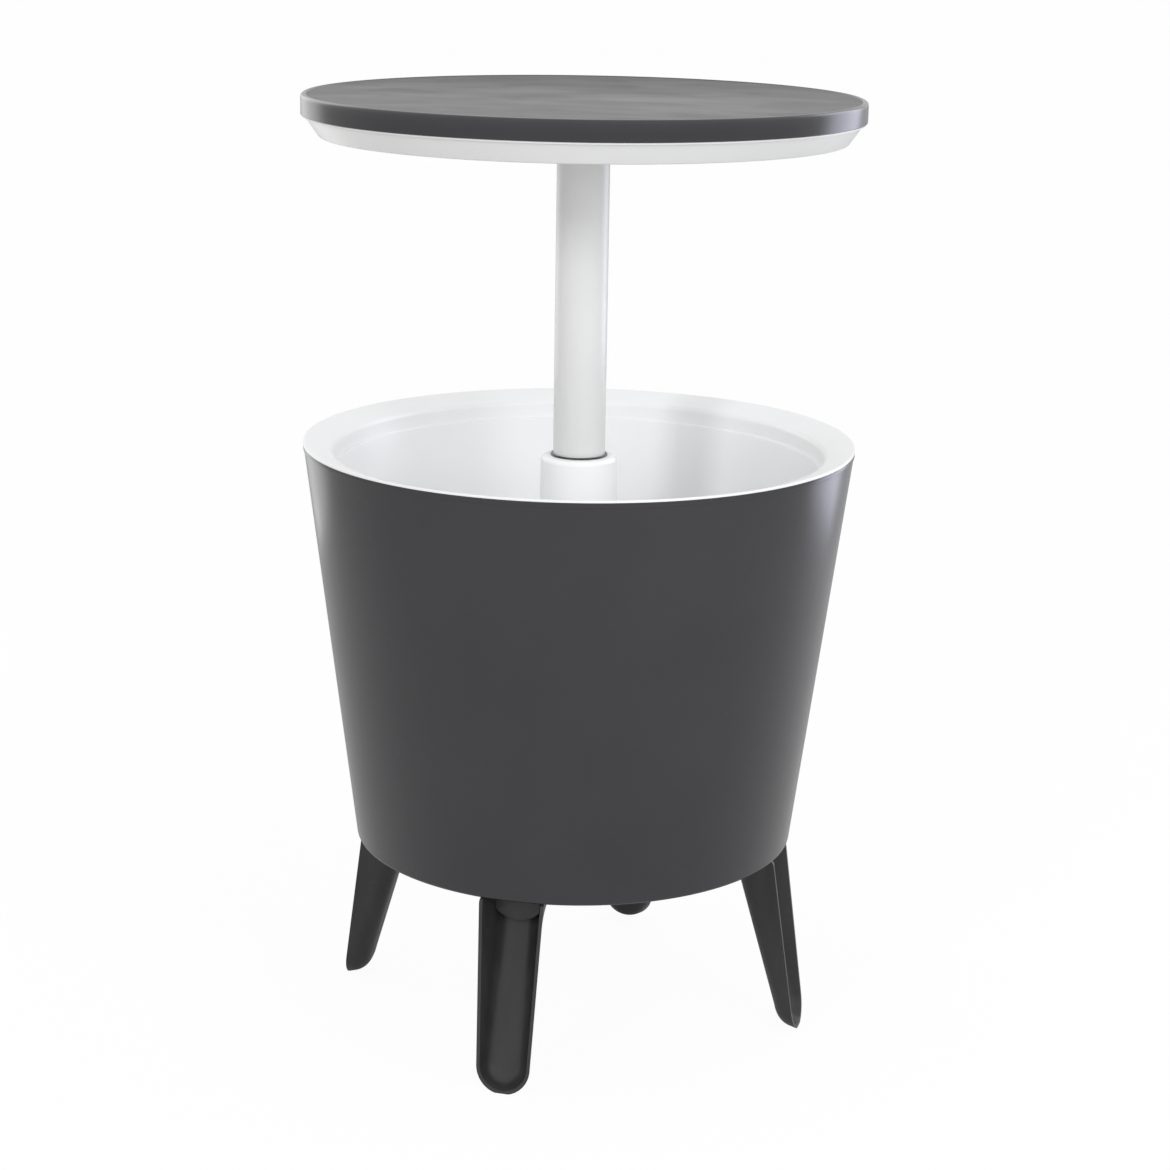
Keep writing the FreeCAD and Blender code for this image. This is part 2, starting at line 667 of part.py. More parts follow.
rib = box(
    "Size.hub_radius + Size.rib_start",
    f"{dish_bottom_radius} - Size.dish_wall / 2",
    "Size.rib_thick / 2",
    f"({dish_floor} - Size.dish_wall / 2)",
    f"({dish_floor} + Size.rib_height)",
)
sink = cone(
    "Size.screw_head + Size.press_gap",
    "Size.screw_radius + Size.press_gap",
    dish_bottom,
    f"({dish_bottom} + Size.screw_head - Size.screw_radius)",
)
ribbed_dish = fuse(dish, *ring_of(rib, "Size.rib_count"))
keep("lid_underside", cut(ribbed_dish, *ring_of(sink, *hub_ring, hub_start)))

# Pole hub: flanged socket under the top that takes the pole's end.

hub_face = f"({dish_floor} + Size.hub_flange)"
hub_boss_top = f"({hub_face} + Size.hub_boss)"


def cross_hole(radius):
    """Hole along X through hub and pole."""
    thing = document.addObject("Part::Cylinder", "CrossHole")
    bind(thing, Radius=radius, Height=f"2 * {hub_outer} + 2")
    return move(thing, f"-({hub_outer} + 1)", "0", cross_height, ALONG_X)


hub = turned("hub", [
    (hub_bore, dish_floor),
    ("Size.hub_radius", dish_floor),
    ("Size.hub_radius", hub_face),
    (hub_outer, hub_face, "Size.hub_fillet"),
    (hub_outer, hub_top),
    ("0", hub_top),
    ("0", pole_top),
    (hub_bore, pole_top),
])
pillars(hub, ring_rows(*hub_ring, "Size.boss_radius", hub_start), hub_face, hub_boss_top)
drill(hub, ring_rows(*hub_ring, thread_hole, hub_start), dish_floor, hub_boss_top)
keep("pole_hub", cut(hub, cross_hole(thread_hole)))

hub_screw_length = "(Size.dish_wall + Size.hub_flange + Size.hub_boss - 1)"
keep("hub_screws", screws(hub_screw_length, dish_bottom, *hub_ring, hub_start, flush=True))
keep("lid_screws", screws("Size.screw_length", lid_head_seat, *lid_ring, lid_start))
cross_screw = move(group(screw("Size.cross_length")), hub_outer, "0", cross_height, ALONG_X)
keep("pole_screws", group(*ring_of(cross_screw, "Size.cross_count")))

# Pole: plain tube from the foot to the hub.

tube = cylinder("Size.pole_radius", foot_top, pole_top)
bore = cylinder(pole_bore, f"({foot_top} - 1)", f"({pole_top} + 1)")
keep("pole", cut(tube, bore, cross_hole(screw_hole)))

# Pole foot: plug in the tube, two locking lugs, a stop tooth and a spigot for the
# runner.

plug_top = f"({foot_top} + Size.foot_plug)"
lug_start = "(-Size.lug_angle / 2)"
tooth_start = "(90 - Size.tooth_angle / 2)"

foot = turned("foot", [
    (thread_hole, spigot_end),
    ("Size.spigot_radius", spigot_end),
    ("Size.spigot_radius", foot_under),
    ("Size.pole_radius", foot_under),
    ("Size.pole_radius", foot_top),
    (f"({pole_bore} - Size.press_gap)", foot_top),
    (f"({pole_bore} - Size.press_gap)", plug_top),
    ("Size.foot_hollow", plug_top),
    ("Size.foot_hollow", foot_top),
    (thread_hole, foot_top),
])
foot_lug = sector("Size.pole_radius - 1", lug_radius, foot_under, foot_top, lug_start, "Size.lug_angle")
tooth = sector(
    "Size.tooth_inner",
    "Size.tooth_outer",
    f"({foot_under} - Size.tooth_depth)",
    f"({foot_under} + 1)",
    tooth_start,
    "Size.tooth_angle",
)
keep("pole_foot", fuse(foot, tooth, *ring_of(foot_lug, "Size.lug_count")))

# Foot slider: runner whose keys stay in the sleeve's grooves while the pole turns.

runner = cut(
    cylinder(runner_radius, runner_under, runner_top),
    cylinder("Size.spigot_radius + Size.touch_gap", f"({runner_under} - 1)", f"({runner_top} + 1)"),
)
key = sector(f"({runner_radius} - 1)", lug_radius, runner_under, runner_top, lug_start, "Size.lug_angle")
recess = sector(
    "Size.tooth_inner - Size.slide_gap",
    "Size.tooth_outer + Size.slide_gap",
    f"({runner_top} - Size.tooth_depth - Size.slide_gap)",
    f"({runner_top} + 1)",
    f"({tooth_start} - Size.twist_angle - Size.tooth_play)",
    "Size.tooth_angle + Size.twist_angle + 2 * Size.tooth_play",
)
keep("foot_slider", cut(fuse(runner, *ring_of(key, "Size.lug_count")), recess))

keep("foot_washer", cut(
    cylinder("Size.washer_radius", washer_under, spigot_end),
    cylinder(screw_hole, f"({washer_under} - 1)", f"({spigot_end} + 1)"),
))
foot_screw = group(screw("Size.foot_screw_length"))
keep("foot_screw", move(foot_screw, z=washer_under, rotation=UPSIDE_DOWN))

# Guide sleeve: tube that stands on the shell's floor inside the column, with two
# long grooves and a pocket at each end of the travel.

sleeve_face = f"({floor_top} + Size.sleeve_flange_thick)"
sleeve_boss_top = f"({sleeve_face} + Size.boss_height)"
sleeve_ring = ("Size.sleeve_screw_count", "Size.sleeve_screw_circle")
sleeve_start = "(180 / Size.sleeve_screw_count)"
groove_start = f"(-{groove_angle} / 2)"

sleeve = turned("sleeve", [
    (sleeve_bore, floor_top),
    ("Size.sleeve_flange", floor_top),
    ("Size.sleeve_flange", sleeve_face),
    (sleeve_radius, sleeve_face, "Size.hub_fillet"),
    (sleeve_radius, sleeve_top),
    (shoulder_hole, sleeve_top),
    (shoulder_hole, f"({ring_bottom} - Size.touch_gap)"),
    (sleeve_bore, f"({ring_bottom} - Size.touch_gap)"),
])
pillars(sleeve, ring_rows(*sleeve_ring, "Size.boss_radius", sleeve_start), sleeve_face, sleeve_boss_top)
drill(sleeve, ring_rows(*sleeve_ring, thread_hole, sleeve_start), floor_top, sleeve_boss_top)
groove = wedge(groove_radius, f"({floor_top} - 1)", groove_top, groove_start, groove_angle)
pocket_start = f"({groove_start} - Size.twist_angle)"
pocket_sweep = f"({groove_angle} + Size.twist_angle)"
high_pocket = wedge(groove_radius, runner_top, groove_top, pocket_start, pocket_sweep)
low_pocket = wedge(
    groove_radius,
    f"({runner_top} - {lift_travel})",
    f"({groove_top} - {lift_travel})",
    pocket_start,
    pocket_sweep,
)
track = fuse(groove, high_pocket, low_pocket)
keep("guide_sleeve", cut(sleeve, *ring_of(track, "Size.lug_count")))
keep("sleeve_screws", screws("Size.screw_length", "Size.leg_height", *sleeve_ring, sleeve_start))

# Lock ring: dark ring pressed into the sleeve, which holds the column down on it.

keep("lock_ring", turned("lock_ring", [
    (ring_bore, ring_bottom),
    (ring_seat, ring_bottom),
    (ring_seat, column_top),
    (ring_radius, column_top),
    (ring_radius, ring_top, "Size.ring_round"),
    (ring_bore, ring_top),
]))

# Tub column: hollow tube over the guide sleeve, its foot flange welded to the tub's
# floor and its shoulder under the lock ring.

column_hole = f"({column_foot} - Size.tub_wall)"
column_edge = f"({column_foot} + Size.column_flange)"
column_step = f"({tub_floor} + Size.column_flange_thick)"
keep("tub_column", turned("tub_column", [
    (shoulder_hole, sleeve_top),
    (f"({sleeve_radius} + Size.slide_gap)", sleeve_top),
    (column_hole, tub_floor),
    (column_edge, tub_floor),
    (column_edge, column_step),
    (column_foot, column_step, "Size.column_fillet"),
    ("Size.column_radius", column_top, "Size.column_round"),
    (shoulder_hole, column_top),
]))

# Inner tub: liner with a sloped rim flange and a skirt inside the shell. The column
# stands over the hole in its floor.

tub_outer_floor = f"({tub_floor_radius} + Size.tub_wall)"
flange_under = f"({flange_height} - Size.tub_wall)"
skirt_inner = f"({skirt_radius} - Size.skirt_wall)"
skirt_root = f"({flange_under} + ({skirt_inner} - {flange_radius}) * {flange_slope})"

tub = turned("tub", [
    (column_hole, tub_under),
    (tub_outer_floor, tub_under, "Size.tub_round + Size.tub_wall"),
    (f"({tub_top_radius} + Size.tub_wall)", f"({ledge_height} - Size.tub_wall)"),
    (f"({ledge_radius} + Size.tub_wall)", f"({ledge_height} - Size.tub_wall)"),
    (f"({flange_radius} + Size.tub_wall)", flange_under),
    (skirt_inner, skirt_root),
    (skirt_inner, skirt_bottom),
    (skirt_radius, skirt_bottom),
    (skirt_radius, shell_top),
    ("Size.rim_radius", shell_top),
    ("Size.rim_radius", rim_height, "Size.rim_round"),
    ("Size.rim_radius - Size.rim_land", rim_height),
    (flange_radius, flange_height),
    (ledge_radius, ledge_height),
    (tub_top_radius, ledge_height),
    (tub_floor_radius, tub_floor, "Size.tub_round"),
    (column_hole, tub_floor),
])
drill(tub, [(drain_x, drain_y, drain_hole)], tub_under, tub_floor)
keep("inner_tub", tub)

# Outer shell: tapered bucket with a fine band round its top and slots in its floor
# for the leg sockets.

band_low = f"({shell_top} - Size.shell_band)"
band_radius = "(Size.rim_radius - Size.band_inset)"
bucket = turned("bucket", [
    ("0", "Size.leg_height"),
    ("Size.base_radius", "Size.leg_height", "Size.base_round"),
    (shell_radius(band_low), band_low),
    (band_radius, band_low),
    (band_radius, f"({shell_top} - Size.band_chamfer)"),
    (f"({band_radius} - Size.band_chamfer)", shell_top),
    (f"({shell_radius(shell_top)} - Size.shell_wall)", shell_top),
    (f"({shell_radius(floor_top)} - Size.shell_wall)", floor_top, "Size.base_round - Size.floor_thick / 2"),
    ("0", floor_top),
])
drill(
    bucket,
    [("0", "0", "Size.vent_radius"), (drain_x, drain_y, drain_hole)]
    + ring_rows(*sleeve_ring, screw_hole, sleeve_start),
    "Size.leg_height",
    floor_top,
)

# Leg: open channel with a rounded toe. The blank is the channel's full outline, and
# an inset blank is the space inside it.


def back_at(height):
    """Back of the leg at a height."""
    return f"(Size.leg_top_back + {back_slope} * (Size.leg_height - {height}))"


def leg_blank(inset, rounding):
    """Solid leg along +X, its faces moved in by an inset and its back rounded."""
    back_move = f"({inset} / cos(atan({back_slope})))"
    near = f"({back_at(blank_top)} + {back_move})"
    far = "(Size.leg_toe_radius + Size.blank_extra)"

    def toe_radius(x):
        return (
            f"(Size.toe_round - (Size.leg_toe_radius - {x}) * {draft_tangent}"
            f" - {inset} / {draft_cosine})"
        )

    toe = document.addObject("Part::Cone", "Toe")
    bind(toe, Radius1=toe_radius(near), Radius2=toe_radius(far), Height=f"{far} - {near}")
    move(toe, near, "0", toe_centre, ALONG_X)
    sides = []
    for side in (1, -1):
        corners = [
            (near, "0"),
            (near, f"{side} * {toe_radius(near)}"),
            (far, f"{side} * {toe_radius(far)}"),
            (far, "0"),
        ]
        lean = Rotation(Vector(1, 0, 0), 1)
        part = extruded(corners, f"{toe_rise} + 2 * Size.blank_extra", z=toe_centre, rotation=lean)
        part.Base.setExpression("Placement.Rotation.Angle", f"{-side} * {side_lean}")
        sides.append(part)
    middle = extruded(
        [(near, toe_centre), (near, blank_top), (far, blank_top), (far, toe_centre)],
        "2 * Size.blank_middle",
        y="Size.blank_middle",
        rotation=FACING_Y,
    )
    side_view = extruded(
        [
            (near, blank_top),
            (f"({back_at('-Size.blank_extra')} + {back_move})", "-Size.blank_extra"),
            (f"{far} + 1", "-Size.blank_extra"),
            (f"{far} + 1", blank_top),
        ],
        "4 * Size.leg_plate_half",
        y="2 * Size.leg_plate_half",
        rotation=FACING_Y,
    )
    blank = common(fuse(toe, middle, *sides), side_view)
    document.recompute()
    back = number(near)
    slope = number(back_slope)
    top = number(blank_top)

    def on_back(edge):
        point = edge.valueAt((edge.FirstParameter + edge.LastParameter) / 2)
        return point.z < top - 0.01 and abs(point.x - back - slope * (top - point.z)) < 0.01

    return fillet(blank, rounding, on_back)


leg_view = extruded(
    [
        ("Size.leg_top_back - Size.blank_extra", "0"),
        ("Size.leg_toe_radius", "0"),
        ("Size.leg_top_radius", "Size.leg_height", "Size.leg_brow"),
        ("Size.leg_top_back - Size.blank_extra", "Size.leg_height"),
    ],
    "4 * Size.leg_plate_half",
    y="2 * Size.leg_plate_half",
    rotation=FACING_Y,
)
plate_corners = [
    ("Size.leg_plate_in", "-Size.leg_plate_half", "Size.plate_corner"),
    ("Size.leg_plate_out", "-Size.leg_plate_half", "Size.plate_corner"),
    ("Size.leg_plate_out", "Size.leg_plate_half", "Size.plate_corner"),
    ("Size.leg_plate_in", "Size.leg_plate_half", "Size.plate_corner"),
]
plate = extruded(plate_corners, "Size.leg_plate", z=plate_under)
solid_leg = fuse(common(leg_blank("0", "Size.leg_corner"), leg_view), plate)
channel = leg_blank("Size.leg_wall", "Size.leg_corner - Size.leg_wall")


def beside(thing_at, offset):
    """The same thing on both sides of the leg's middle."""
    return [thing_at(offset), thing_at(f"(-{offset})")]


def leg_screw_cylinder(radius, low, high):
    """Pair of cylinders on the leg's two screws."""
    return beside(
        lambda side: cylinder(radius, low, high, "Size.leg_screw_radius", side),
        "Size.leg_screw_side",
    )


def socket_screw_cylinder(radius, low, high):
    """Pair of cylinders on the socket's two screws."""
    return beside(
        lambda side: cylinder(radius, low, high, "Size.socket_screw_radius", side),
        "Size.socket_screw_side",
    )


leg_holes = leg_screw_cylinder(screw_hole, f"({plate_under} - 1)", "(Size.leg_height + 1)")
leg = cut(solid_leg, channel, *leg_holes)
LEG_SIDES = ("right", "rear", "left", "front")
for side, leg_copy in zip(LEG_SIDES, ring_of(leg, "Size.leg_count")):
    keep(f"leg_{side}", leg_copy)

# Leg socket: bracket on the shell's floor that carries the tub's floor and reaches
# through a slot into the leg's channel.

socket_face = f"({floor_top} + Size.socket_base)"
socket_boss_top = f"({socket_face} + Size.boss_height)"
plug_inset = "(Size.leg_wall + Size.touch_gap)"
plug_axis = "(Size.leg_height - Size.plug_drop + Size.plug_round)"

base = extruded(
    [
        ("Size.socket_in", "-Size.socket_half", "Size.socket_corner"),
        ("Size.socket_out", "-Size.socket_half", "Size.socket_corner"),
        ("Size.socket_out", "Size.socket_half", "Size.socket_corner"),
        ("Size.socket_in", "Size.socket_half", "Size.socket_corner"),
    ],
    "Size.socket_base",
    z=floor_top,
)
tower = cut(
    box("Size.tower_in", "Size.tower_out", "Size.tower_half", floor_top, tub_under),
    box(
        "Size.tower_in - Size.tower_wall",
        "Size.tower_out - Size.tower_wall",
        "Size.tower_half - Size.tower_wall",
        socket_face,
        f"({tub_under} - Size.tower_wall)",
    ),
)
plug_round = document.addObject("Part::Cylinder", "PlugRound")
bind(plug_round, Radius="Size.plug_round", Height="Size.plug_front - Size.tower_in")
move(plug_round, "Size.tower_in", "0", plug_axis, ALONG_X)
plug_outline = fuse(
    plug_round,
    box("Size.tower_in", "Size.plug_front", "Size.plug_round", plug_axis, socket_face),
)
plug = common(leg_blank(plug_inset, f"Size.leg_corner - {plug_inset}"), plug_outline)
bosses = leg_screw_cylinder("Size.boss_radius", floor_top, socket_boss_top)
bosses += socket_screw_cylinder("Size.boss_radius", floor_top, socket_boss_top)
threads = leg_screw_cylinder(thread_hole, f"({floor_top} - 1)", f"({socket_boss_top} + 1)")
threads += socket_screw_cylinder(thread_hole, f"({floor_top} - 1)", f"({socket_boss_top} + 1)")
socket = cut(fuse(base, tower, plug, *bosses), *threads)
for side, socket_copy in zip(LEG_SIDES, ring_of(socket, "Size.leg_count")):
    keep(f"socket_{side}", socket_copy)

slot_half = (
    f"(Size.leg_top_half + Size.plug_play + Size.floor_thick * tan({side_lean})"
    f" - ((Size.leg_top_radius - Size.plug_front) * {draft_tangent}"
    f" + {plug_inset} / {draft_cosine}) / cos({side_lean}))"
)
slot = box(
    f"{back_at(floor_top)} + {plug_inset} - Size.plug_play",
    "Size.plug_front + Size.plug_play",
    slot_half,
    "(Size.leg_height - 1)",
    f"({floor_top} + 1)",
)
floor_cuts = [slot]
floor_cuts += leg_screw_cylinder(screw_hole, "(Size.leg_height - 1)", f"({floor_top} + 1)")
floor_cuts += socket_screw_cylinder(screw_hole, "(Size.leg_height - 1)", f"({floor_top} + 1)")
keep("outer_shell", cut(bucket, *ring_of(group(*floor_cuts), "Size.leg_count")))


def paired_screws(length, seat, radius, side):
    """Two upward screws at every leg."""
    single = group(screw(length))
    pair = []
    for offset in (side, f"-{side}"):
        copy = group(single)
        pair.append(move(copy, radius, offset, seat, UPSIDE_DOWN))
    return group(*ring_of(group(*pair), "Size.leg_count"))


keep("leg_screws", paired_screws(
    "(Size.screw_length + Size.leg_plate)", plate_under, "Size.leg_screw_radius", "Size.leg_screw_side",
))
keep("socket_screws", paired_screws(
    "Size.screw_length", "Size.leg_height", "Size.socket_screw_radius", "Size.socket_screw_side",
))

# Drain: spigot through both floors, held by a nut on a gasket, and its stopper.

flange_top = f"({tub_floor} + Size.drain_flange_thick)"
gasket_under = f"({tub_under} - Size.gasket_thick)"
nut_under = f"({gasket_under} - Size.nut_height)"
stopper_radius = "(Size.drain_bore - Size.stopper_play)"
cap_top = f"({drain_end} - Size.touch_gap)"
cap_under = f"({cap_top} - Size.cap_thick)"
seal_centre = f"({drain_end} + Size.seal_height)"
seal_circle = "(Size.drain_bore - Size.press_gap - Size.seal_thick)"


def at_drain(radius, low, high):
    """Cylinder on the drain's axis."""
    return cylinder(radius, low, high, drain_x, drain_y)


keep("drain_spigot", cut(
    fuse(at_drain("Size.drain_flange", tub_floor, flange_top), at_drain(drain_radius, drain_end, flange_top)),
    at_drain("Size.drain_bore", f"({drain_end} - 1)", f"({flange_top} + 1)"),
))
keep("drain_gasket", cut(
    at_drain("Size.drain_flange", gasket_under, tub_under),
    at_drain(drain_hole, f"({gasket_under} - 1)", f"({tub_under} + 1)"),
))
hexagon = document.addObject("Part::Prism", "Hexagon")
hexagon.Polygon = 6
bind(hexagon, Circumradius="Size.nut_flats / 2 / cos(30)", Height="Size.nut_height")
move(hexagon, drain_x, drain_y, nut_under)
nut_bore = at_drain(f"({drain_radius} + Size.press_gap)", f"({nut_under} - 1)", f"({gasket_under} + 1)")
keep("drain_nut", cut(hexagon, nut_bore))

stopper = at_drain(stopper_radius, cap_under, f"({drain_end} + Size.stopper_length)")
cap = at_drain("Size.cap_radius", cap_under, cap_top)
grip_end = f"({cap_under} - Size.grip_height)"
grip_bar = box("-Size.cap_radius", "Size.cap_radius", "Size.grip_half", grip_end, cap_under)
grip = move(group(grip_bar), drain_x, drain_y)
grip_round = at_drain("Size.cap_radius - Size.grip_inset", grip_end, cap_under)
seal_room = "(Size.seal_thick + Size.press_gap)"
groove_low = f"({seal_centre} - {seal_room})"
groove_high = f"({seal_centre} + {seal_room})"
seal_groove = cut(
    at_drain("Size.drain_bore", groove_low, groove_high),
    at_drain(f"({seal_circle} - {seal_room})", f"({groove_low} - 1)", f"({groove_high} + 1)"),
)
keep("drain_plug", cut(fuse(stopper, cap, common(grip, grip_round)), seal_groove))
seal = document.addObject("Part::Torus", "Seal")
bind(seal, Radius1=seal_circle, Radius2="Size.seal_thick")
keep("plug_seal", move(seal, drain_x, drain_y, seal_centre))

document.recompute()
for thing in document.Objects:
    assert not {"Invalid", "Error"} & set(thing.State), (thing.Name, thing.Label, thing.State)
os.makedirs("parts", exist_ok=True)
for label, thing in PARTS.items():
    shape = thing.Shape
    assert not shape.isNull() and shape.isValid(), label
    shape.exportStep(f"parts/{label}.step")
    print(f"{label}: {len(shape.Solids)} solid(s), {shape.Volume / 1000:.1f} cm3")
print(f"{len(PARTS)} sub-parts; lift {number(lift_travel):.2f} mm")
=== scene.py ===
import bmesh
import bpy
import math
from mathutils import Matrix, Vector


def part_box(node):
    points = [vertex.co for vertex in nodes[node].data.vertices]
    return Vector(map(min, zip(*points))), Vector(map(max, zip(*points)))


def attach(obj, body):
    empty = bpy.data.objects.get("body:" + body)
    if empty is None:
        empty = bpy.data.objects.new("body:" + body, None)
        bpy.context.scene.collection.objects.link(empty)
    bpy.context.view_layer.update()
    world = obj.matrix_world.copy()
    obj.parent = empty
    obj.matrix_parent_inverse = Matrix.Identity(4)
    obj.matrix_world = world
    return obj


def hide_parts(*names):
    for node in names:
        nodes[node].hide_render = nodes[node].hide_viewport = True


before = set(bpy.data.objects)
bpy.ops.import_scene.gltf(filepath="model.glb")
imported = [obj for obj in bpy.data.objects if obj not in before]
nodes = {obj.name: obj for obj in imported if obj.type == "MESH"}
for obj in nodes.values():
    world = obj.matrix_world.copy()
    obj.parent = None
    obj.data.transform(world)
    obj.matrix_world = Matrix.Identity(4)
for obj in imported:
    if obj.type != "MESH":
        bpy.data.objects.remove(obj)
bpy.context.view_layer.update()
scene = bpy.context.scene
scene.view_settings.view_transform = "Standard"

# Outer shell: tapered bucket of dark polypropylene, moulded in one piece with a fine
# matte texture, a narrow band round its top edge and a softly rounded bottom edge.


def add(tree, kind, inputs=(), **settings):
    """A new node. An input is set to a value or linked to another node's output."""
    node = tree.nodes.new("ShaderNode" + kind)
    for name, value in settings.items():
        setattr(node, name, value)
    for name, value in dict(inputs).items():
        if isinstance(value, bpy.types.NodeSocket):
            tree.links.new(value, node.inputs[name])
        else:
            node.inputs[name].default_value = value
    return node


def new_group(name, inputs, outputs):
    """A shader group that takes a vector and numbers, given with their defaults, and
    puts out numbers."""
    tree = bpy.data.node_groups.new(name, "ShaderNodeTree")
    tree.interface.new_socket("Vector", in_out="INPUT", socket_type="NodeSocketVector")
    for title, value in inputs.items():
        socket = tree.interface.new_socket(title, in_out="INPUT", socket_type="NodeSocketFloat")
        socket.default_value = value
    for title in outputs:
        tree.interface.new_socket(title, in_out="OUTPUT", socket_type="NodeSocketFloat")
    given = tree.nodes.new("NodeGroupInput").outputs
    out = tree.nodes.new("NodeGroupOutput").inputs
    return tree, given, out


def place_group(tree, name, inputs):
    """The group's outputs, placed in a material with its own values."""
    return add(tree, "Group", inputs, node_tree=bpy.data.node_groups[name]).outputs


# The skin that a spark-eroded mould leaves: fine grain for relief, slow clouds of gloss.
tree, given, out = new_group("Moulded skin", {"Grains": 900, "Clouds": 9}, ("Relief", "Cloud"))
grain = add(
    tree,
    "TexNoise",
    {"Vector": given["Vector"], "Scale": given["Grains"], "Detail": 2.0, "Roughness": 0.6},
)
cloud = add(
    tree,
    "TexNoise",
    {"Vector": given["Vector"], "Scale": given["Clouds"], "Detail": 4.0, "Roughness": 0.55},
)
spread = add(tree, "MapRange", {"Value": cloud.outputs["Fac"], "From Min": 0.3, "From Max": 0.7})
tree.links.new(grain.outputs["Fac"], out["Relief"])
tree.links.new(spread.outputs["Result"], out["Cloud"])

# Handling marks: short faint scratches in patches, all of them level.
tree, given, out = new_group(
    "Handling marks",
    {"Length": 30, "Fineness": 900, "Rarity": 0.62},
    ("Mark",),
)
stretch = add(
    tree,
    "CombineXYZ",
    {"X": given["Length"], "Y": given["Length"], "Z": given["Fineness"]},
).outputs["Vector"]
along = add(tree, "VectorMath", {0: given["Vector"], 1: stretch}, operation="MULTIPLY")
lines = add(tree, "TexNoise", {"Vector": along.outputs["Vector"], "Scale": 1.0, "Detail": 1.0})
patch = add(tree, "TexNoise", {"Vector": given["Vector"], "Scale": 22.0, "Detail": 2.0})
rare = add(
    tree,
    "MapRange",
    {"Value": lines.outputs["Fac"], "From Min": given["Rarity"], "From Max": 0.75},
).outputs["Result"]
near = add(
    tree,
    "MapRange",
    {"Value": patch.outputs["Fac"], "From Min": 0.48, "From Max": 0.62},
).outputs["Result"]
both = add(tree, "Math", {0: rare, 1: near}, operation="MULTIPLY")
tree.links.new(both.outputs["Value"], out["Mark"])


def new_material(name, colour, roughness):
    """A material with its tree and its shader node."""
    material = bpy.data.materials.new(name)
    material.use_nodes = True
    tree = material.node_tree
    shader = tree.nodes["Principled BSDF"]
    shader.inputs["Base Color"].default_value = (*colour, 1)
    shader.inputs["Roughness"].default_value = roughness
    return material, tree, shader


def object_place(tree):
    """The object coordinates, which every pattern follows."""
    return add(tree, "TexCoord").outputs["Object"]


def dress(tree, shader, tone, gloss, relief=None, strength=0.5):
    """Links what changes over the surface: tone as (share, first colour, second colour),
    gloss as (share, smooth, rough) and relief as (height, depth)."""
    share, first, second = tone
    mix = add(tree, "Mix", data_type="RGBA")
    tree.links.new(share, mix.inputs["Factor"])
    colours = [socket for socket in mix.inputs if socket.type == "RGBA"]
    colours[0].default_value = (*first, 1)
    colours[1].default_value = (*second, 1)
    blend = next(socket for socket in mix.outputs if socket.type == "RGBA")
    tree.links.new(blend, shader.inputs["Base Color"])
    share, smooth, rough = gloss
    sheen = add(tree, "MapRange", {"Value": share, "To Min": smooth, "To Max": rough})
    tree.links.new(sheen.outputs["Result"], shader.inputs["Roughness"])
    if relief:
        height, depth = relief
        bump = add(tree, "Bump", {"Height": height, "Distance": depth, "Strength": strength})
        tree.links.new(bump.outputs["Normal"], shader.inputs["Normal"])


def plastic(name, colour, pale, smooth, rough, grains, relief, clouds, mark, drawn=(1, 1, 1)):
    """Moulded plastic with grain, faint marks and a slow drift of colour and gloss. The
    grain and the drift are scaled by drawn along each axis."""
    material, tree, shader = new_material(name, colour, smooth)
    place = object_place(tree)
    flow = add(tree, "Mapping", {"Vector": place, "Scale": drawn}).outputs["Vector"]
    skin = place_group(tree, "Moulded skin", {"Vector": flow, "Grains": grains, "Clouds": clouds})
    marks = place_group(tree, "Handling marks", {"Vector": place})
    worn = add(tree, "Math", {0: marks["Mark"], 1: mark}, operation="MULTIPLY").outputs["Value"]
    share = add(
        tree,
        "Math",
        {0: skin["Cloud"], 1: worn},
        operation="ADD",
        use_clamp=True,
    ).outputs["Value"]
    dress(
        tree,
        shader,
        tone=(share, colour, pale),
        gloss=(share, smooth, rough),
        relief=(skin["Relief"], relief),
    )
    return material


shell_dark = plastic(
    "dark moulded plastic",
    colour=(0.0235, 0.0229, 0.0256),
    pale=(0.0285, 0.0278, 0.0308),
    smooth=0.21,
    rough=0.265,
    grains=850,
    relief=0.00003,
    clouds=7,
    mark=0.25,
)

merge_distance = 1e-6
ring_tolerance = 2e-5
crease_angle = math.radians(32)


def spun(profile, steps=160):
    """A solid of revolution from (radius, height) points: a ring, or closed on the axis
    where the profile starts and ends there."""
    bm = bmesh.new()
    points = [bm.verts.new((radius, 0, height)) for radius, height in profile]
    pairs = list(zip(points, points[1:]))
    if profile[0][0] > 0:
        pairs.append((points[-1], points[0]))
    lines = [bm.edges.new(pair) for pair in pairs]
    bmesh.ops.spin(
        bm,
        geom=points + lines,
        cent=(0, 0, 0),
        axis=(0, 0, 1),
        angle=2 * math.pi,
        steps=steps,
        use_merge=True,
    )
    bmesh.ops.remove_doubles(bm, verts=bm.verts, dist=merge_distance)
    bmesh.ops.recalc_face_normals(bm, faces=bm.faces)
    return bm


def round_off(bm, parts, width, segments, affect="EDGES"):
    """Rounds edges or corners, by a width along each face."""
    bmesh.ops.bevel(
        bm,
        geom=parts,
        offset=width,
        offset_type="OFFSET",
        segments=segments,
        profile=0.5,
        affect=affect,
        material=-1,
    )


def soften(bm, ring, width, segments):
    """Rounds the edge loop at a (radius, height)."""
    radius, height = ring
    edges = [
        edge
        for edge in bm.edges
        if all(
            abs(math.hypot(v.co.x, v.co.y) - radius) < ring_tolerance
            and abs(v.co.z - height) < ring_tolerance
            for v in edge.verts
        )
    ]
    round_off(bm, edges, width, segments)


